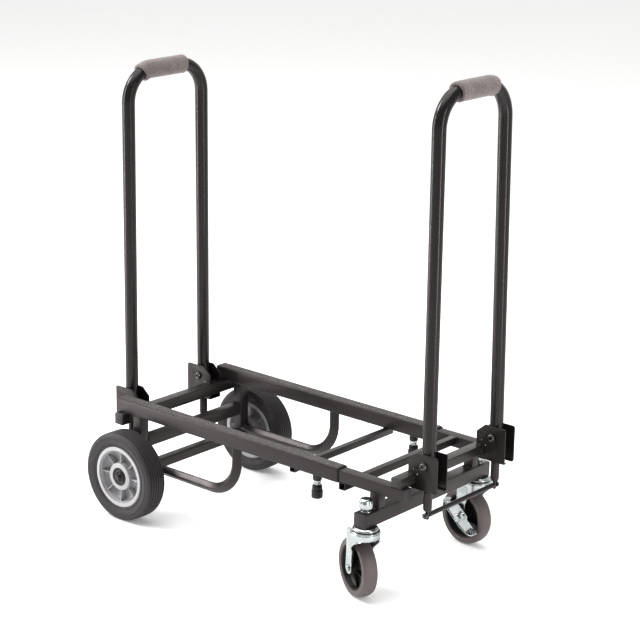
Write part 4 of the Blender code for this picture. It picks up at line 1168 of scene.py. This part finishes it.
def make_bracket(end, outward, side, sign):
    """Two bevelled cheeks and a slotted floor, welded round the cross tube, with a pivot bolt."""
    x = outward * HANDLE_X
    y = sign * HANDLE_HALF[end]
    z = PIVOT_Z[end]
    node = f"{end}_bracket_{side}"
    member_low, member_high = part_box(f"{end}_cross_tube")
    face = max(outward * member_low[0], outward * member_high[0])
    notch_out = HANDLE_X - face - 0.0003
    notch_low = member_low[2] - 0.0003 - z
    notch_high = member_high[2] + 0.0003 - z
    cut_v = BRACKET_UP - BRACKET_CHAMFER + 0.002
    outline = [(BRACKET_IN - BRACKET_CHAMFER - 0.001, BRACKET_UP), (-BRACKET_OUT, BRACKET_UP),
               (-BRACKET_OUT, -BRACKET_DOWN), (BRACKET_IN, -BRACKET_DOWN), (BRACKET_IN, notch_low),
               (notch_out, notch_low), (notch_out, notch_high), (BRACKET_IN, notch_high),
               (BRACKET_IN, cut_v)]
    radii = [0.003, BRACKET_ROUND, 0.003, 0.0015, 0.0006, 0.0, 0.0, 0.0006, 0.003]
    cheek = [(outward * u, v) for u, v in filleted(outline, radii, 6)]
    inner = HANDLE_RADIUS + 0.0003
    pieces = []
    for label, lateral in SIDES:
        pieces.append(plate(f"{node}_{label}", (cheek, circle(0.0043, 28)), PLATE, "black_plate",
                            facing("Y", (x, y + lateral * (inner + PLATE / 2), z)), 0.0005))
    slot = PLUNGER + 0.0010
    width = 2 * inner + 0.0004
    low_u, high_u = -BRACKET_OUT + 0.0002, BRACKET_IN - 0.0002
    floor = [(high_u, width / 2), (high_u, -width / 2), (low_u, -width / 2), (low_u, -slot),
             (slot - 0.004, -slot),
             (slot, 0.004 - slot), (slot, slot - 0.004), (slot - 0.004, slot), (low_u, slot),
             (low_u, width / 2)]
    floor = [(outward * -u, v) for u, v in floor]
    if outward > 0:
        floor.reverse()
    pieces.append(plate(f"{node}_floor", (floor,), PLATE, "black_plate",
                        facing("Z", (x, y, z - BRACKET_DOWN + PLATE / 2)), 0.0004))
    # Two small zinc domes on one cheek stand in for the glints seen on weld spots: painted highlight.
    for u, v, radius in ((0.0247, -0.0107, 0.0014), (0.0151, -0.0195, 0.0017)):
        pieces.append(lathe(f"{node}_spot",
                            [(0.0, 0.0010), (radius * 0.6, 0.0007), (radius, -0.0002), (0.0, -0.0002)],
                            "zinc", Matrix.Translation((x - outward * u, y - inner - PLATE,
                                                        z + v)) @ turned(90, "X"), 20, 0.0002))
    outer = inner + PLATE
    inward = -outward
    for label, lateral in SIDES:
        seam_y = y + lateral * (outer - 0.0004)
        front_x = x + inward * (notch_out + 0.0004)
        pieces.append(weld(f"{node}_weld_{label}", [(front_x, seam_y, z + notch_low + 0.002),
                                                   (front_x, seam_y, z + notch_high - 0.002)], 0.0016))
        pieces.append(weld(f"{node}_bead_{label}",
                           [(x + inward * (notch_out + 0.002), seam_y, z + notch_high),
                           (x + inward * BRACKET_IN, seam_y, z + notch_high)], 0.0016))
    body = "rear_frame" if end == "rear" else "front_frame"
    settle(joined(f"{end}_cheeks_{side}", *pieces), body, "black_frame", node)
    low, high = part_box(f"{end}_pivot_bolt_{side}")
    reach = (high[1] - low[1]) / 2
    bolt_place = Matrix.Translation((x, y, z))
    parts = []
    for label, lateral in SIDES:
        turn = turned(-90 * lateral, "X")
        here = bolt_place @ turn
        seat = outer + 0.0003
        parts.append(lathe(f"bolt_washer_{end}_{side}_{label}",
                           [(0.0042, seat), (0.0098, seat), (0.0098, seat + 0.0009), (0.0094, seat + 0.0013),
                            (0.0042, seat + 0.0014)], "black_plastic", here, 64, 0.0003))
        if label == "near":
            parts.append(lathe(f"bolt_head_{end}_{side}",
                               [(0.0036, seat + 0.0012), (0.0080, seat + 0.0012), (0.0082, seat + 0.0024),
                                (0.0072, reach - 0.0012), (0.0056, reach), (0.0042, reach),
                                (0.0036, reach - 0.0006)],
                               "dark_steel", here, 64, 0.0005))
            socket = plate(f"bolt_socket_{end}_{side}", (circle(0.0038, 36), polygon(0.0029, 6, 0.3)),
                           0.0030,
                           "dark_steel", here @ lifted(reach - 0.0019), 0.0002)
            floor_disc = lathe(f"bolt_disc_{end}_{side}", [(0.0, seat + 0.0020), (0.0036, seat + 0.0020),
                                                          (0.0036, seat + 0.0006), (0.0, seat + 0.0006)],
                               "dark_steel", here, 36, 0.0002)
            parts += [socket, floor_disc]
        else:
            parts.append(plate(f"bolt_nut_{end}_{side}", (polygon(0.0076, 6, 0.25), circle(0.0040, 28)),
                               0.0040,
                               "dark_steel", here @ lifted(seat + 0.0033), 0.0006))
            parts.append(lathe(f"bolt_tip_{end}_{side}",
                               [(0.0, reach), (0.0030, reach), (0.0038, reach - 0.0008),
                               (0.0038, seat), (0.0, seat)], "dark_steel", here, 36,
                               0.0002))
    shank_end = [(0.0, outer + 0.0004), (0.0040, outer + 0.0004)]
    shank = lathe(f"bolt_shank_{end}_{side}", shank_end + mirrored(shank_end), "dark_steel",
                  bolt_place @ turned(-90, "X"), 36, 0.0)
    settle(joined(f"{end}_bolt_{side}", *parts, shank), body, "dark_steel", f"{end}_pivot_bolt_{side}")


def make_lock_bar(end, outward):
    """Two forked plungers that slide in the legs, joined below by a rod with nuts."""
    x = outward * HANDLE_X
    half = HANDLE_HALF[end]
    z = PIVOT_Z[end]
    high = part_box(f"{end}_lock_bar")[1]
    pieces = []
    top = high[2] - z
    for side, sign in SIDES:
        place = Matrix.Translation((x, sign * half, z))
        pieces.append(lathe(f"{end}_plunger_{side}",
                            [(0.0, -0.0560), (PLUNGER, -0.0560), (PLUNGER, -0.0920), (0.0082, -0.0965),
                             (0.0066, -0.0980), (0.0, -0.0980)], "black_frame", place, 48, 0.0006))
        for label, lateral in SIDES:
            wing = [(PLUNGER * math.cos(angle), PLUNGER * math.sin(angle))
                    for angle in (math.radians(-56 + 112 * step / 14) for step in range(15))]
            wing = [(u * -lateral, v * -lateral) for u, v in wing]
            length = top + 0.0562
            pieces.append(plate(f"{end}_prong_{side}_{label}", (wing,), length, "black_frame",
                                place @ lifted(top - length / 2), 0.0004))
        pieces.append(lathe(f"{end}_neck_{side}",
                            [(0.0, -0.0975), (0.0056, -0.0975), (0.0046, -0.0990), (0.0038, -0.1005),
                             (0.0038, -0.1145), (0.0030, -0.1160), (0.0, -0.1160)],
                            "black_frame", place, 40, 0.0004))
        nut_middle = sign * (half + 0.0070)
        pieces.append(plate(f"{end}_rod_nut_{side}", (polygon(0.0066, 6, 0.5),), 0.0042, "dark_steel",
                            across((x, nut_middle, z - LOCK_ROD_DOWN)), 0.0005))
        tip = -0.0020 if sign < 0 else 0.0020
        tip_place = across((x, nut_middle + tip, z - LOCK_ROD_DOWN)) @ turned(180 if sign < 0 else 0, "X")
        pieces.append(lathe(f"{end}_rod_tip_{side}", [(0.0, 0.0030), (0.0024, 0.0030), (0.0030, 0.0022),
                                                      (0.0030, -0.0030), (0.0, -0.0030)],
                            "dark_steel", tip_place, 32, 0.0003))
    reach = half - 0.0020
    rod_end = [(0.0, reach), (LOCK_ROD - 0.0006, reach), (LOCK_ROD, reach - 0.0008)]
    pieces.append(lathe(f"{end}_rod", rod_end + mirrored(rod_end), "black_frame",
                        across((x, 0.0, z - LOCK_ROD_DOWN)), 40, 0.0))
    settle(joined(f"{end}_lock", *pieces), f"{end}_lock_bar", "black_frame", f"{end}_lock_bar")


# ---------------------------------------------------------------- welds between tubes

OUTER_WALL = 0.144
INNER_WALL = 0.1465
UNDER_RAIL = RAIL_BOTTOM - 0.0004


def seam(sign, x, start, end, z, radius):
    """A straight bead across the cart, on one side of it."""
    return weld("bead", [(x, sign * start, z), (x, sign * end, z)], radius)


def rear_beads(side, sign):
    """Beads on one side of the rear frame: under the rail, round the post and along the side loop."""
    low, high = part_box("rear_cross_tube")
    beads = [seam(sign, x, OUTER_WALL, 0.174, UNDER_RAIL, 0.0014) for x in (low[0], high[0])]
    low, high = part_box(f"rear_post_{side}")
    beads.append(weld("bead", box_ring(low, high, RAIL_BOTTOM - 0.0006), 0.0016, True))
    for x, z in ((LOOP_FRONT, RAIL_BOTTOM - 0.0006), (LOOP_FRONT - LOOP_THICK, RAIL_BOTTOM - 0.0006),
                 (POST_X + 0.0122, LOOP_BOTTOM), (POST_X + 0.0122, LOOP_BOTTOM + LOOP_THICK)):
        beads.append(seam(sign, x, 0.152, 0.166, z, 0.0016))
    for node in ("mid_cross_tube", "axle_tube"):
        low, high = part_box(node)
        edge = sign * 0.1488
        beads.append(weld("bead", [(low[0], edge, low[2]), (high[0], edge, low[2]), (high[0], edge, high[2]),
                                   (low[0], edge, high[2])], 0.0014, True))
    low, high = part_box("deck_tie_tube")
    return beads + [seam(sign, x, OUTER_WALL, 0.161, UNDER_RAIL, 0.0012) for x in (low[0], high[0])]


def front_beads(side, sign):
    """Beads on one side of the front frame: round the caster's post and along the cross members."""
    low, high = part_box(f"caster_post_{side}")
    post_ends = (BEAM_TOP + 0.0006, high[2] - 0.0003)
    beads = [weld("bead", box_ring(low, high, z), 0.0015, True) for z in post_ends]
    low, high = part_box("front_cross_tube")
    beads += [seam(sign, x, INNER_WALL, 0.1710, low[2] + 0.0002, 0.0014) for x in (low[0], high[0])]
    low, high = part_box("inner_tie_tube")
    beads += [seam(sign, x, INNER_WALL, 0.1700, high[2], 0.0013) for x in (low[0], high[0])]
    low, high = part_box("flush_tie_tube")
    edge = sign * (INNER_WALL + 0.0001)
    for x in (low[0], high[0]):
        beads.append(weld("bead", [(x, edge, low[2] + 0.001), (x, edge, high[2] - 0.001)], 0.0012))
    return beads


def make_welds():
    """Beads where the tubes of each frame meet."""
    for name, body, beads in (("rear_welds", "rear_frame", rear_beads),
                              ("front_welds", "front_frame", front_beads)):
        made = [bead for side, sign in SIDES for bead in beads(side, sign)]
        settle(joined(name, *made), body, "black_frame")


# ---------------------------------------------------------------- studio

FLOOR_HALF = 30.0
LIGHTS_AIM = Vector((0.0, 0.0, 0.4))
BRIGHT_SIDE = Vector((-0.62, 0.73, 0.28))
CAMERA_PLACE = (2.63993, -3.03677, 1.69667)
CAMERA_BACK = Vector((0.62345994, -0.72651848, 0.28890933))
CAMERA_TURN = 40.634
CAMERA_ROLL = 0.869
CAMERA_LENS = 111.5741
STUDIO_LIGHTS = (("top", (-0.2, -0.2, 4.0), 120.0, 3.6, 3.6), ("corner", (-2.9, -1.5, 3.4), 110.0, 1.4, 1.4),
                 ("left", (-1.68, -1.26, 0.85), 24.0, 0.22, 1.7),
                 ("right", (2.05, -0.14, 0.80), 13.0, 0.18, 1.6))


def make_world():
    """A soft studio surround: brighter low down behind the object than in front of it."""
    world = bpy.data.worlds.new("studio")
    world.use_nodes = True
    tree = world.node_tree
    background = tree.nodes["Background"]
    direction = tree.nodes.new("ShaderNodeTexCoord").outputs["Generated"]
    towards = tree.nodes.new("ShaderNodeVectorMath")
    towards.operation = "DOT_PRODUCT"
    towards.inputs[1].default_value = BRIGHT_SIDE.normalized()
    tree.links.new(direction, towards.inputs[0])
    level = tree.nodes.new("ShaderNodeMapRange")
    for key, number in zip(("From Min", "From Max", "To Min", "To Max"), (0.2, 0.95, 0.45, 1.45)):
        level.inputs[key].default_value = number
    tree.links.new(towards.outputs["Value"], level.inputs["Value"])
    tree.links.new(level.outputs["Result"], background.inputs["Strength"])
    background.inputs["Color"].default_value = (1.0, 0.995, 0.99, 1.0)
    bpy.context.scene.world = world


def make_studio():
    """A plain pale floor, soft light and a camera at the viewing angle."""
    floor_mesh = bpy.data.meshes.new("floor")
    corners = [(u * FLOOR_HALF, v * FLOOR_HALF, 0) for u, v in ((-1, -1), (1, -1), (1, 1), (-1, 1))]
    floor_mesh.from_pydata(corners, [], [(0, 1, 2, 3)])
    floor = linked("floor", floor_mesh)
    white = bpy.data.materials.new("floor_white")
    white.use_nodes = True
    shader = white.node_tree.nodes["Principled BSDF"]
    shader.inputs["Base Color"].default_value = (0.90, 0.90, 0.90, 1.0)
    shader.inputs["Roughness"].default_value = 0.9
    shader.inputs["Specular IOR Level"].default_value = 0.1
    shader.inputs["Emission Color"].default_value = (1.0, 1.0, 1.0, 1.0)
    shader.inputs["Emission Strength"].default_value = 0.22
    floor_mesh.materials.append(white)
    make_world()
    for name, location, power, width, height in STUDIO_LIGHTS:
        data = bpy.data.lights.new(name, "AREA")
        data.energy = power
        data.shape = "RECTANGLE"
        data.size = width
        data.size_y = height
        lamp = linked(name, data)
        lamp.location = location
        lamp.visible_camera = False
        lamp.rotation_mode = "QUATERNION"
        lamp.rotation_quaternion = (LIGHTS_AIM - Vector(location)).to_track_quat("-Z", "Y")
    azimuth, roll = math.radians(CAMERA_TURN), math.radians(CAMERA_ROLL)
    back = CAMERA_BACK.normalized()
    level = Vector((math.cos(azimuth), math.sin(azimuth), 0.0))
    rise = back.cross(level)
    right = level * math.cos(roll) + rise * math.sin(roll)
    up = rise * math.cos(roll) - level * math.sin(roll)
    data = bpy.data.cameras.new("camera")
    data.sensor_width = 36.0
    data.lens = CAMERA_LENS
    camera = linked("camera", data)
    camera.matrix_world = Matrix.Translation(CAMERA_PLACE) @ Matrix((right, up, back)).transposed().to_4x4()
    bpy.context.scene.camera = camera
    bpy.context.scene.view_settings.view_transform = "Standard"
    bpy.context.scene.view_settings.gamma = 0.8


def build():
    """Every visible piece, then the studio."""
    make_deck()
    for side, sign in SIDES:
        make_spring_pin(side, sign)
    make_rear_undercarriage()
    for side, sign in SIDES:
        make_kingpin(side, sign)
        hub = make_caster(side, sign)
    make_brake(hub)
    for end, outward in ENDS:
        make_handle(end, outward)
        make_lock_bar(end, outward)
        for side, sign in SIDES:
            make_bracket(end, outward, side, sign)
    make_welds()
    make_studio()


build()
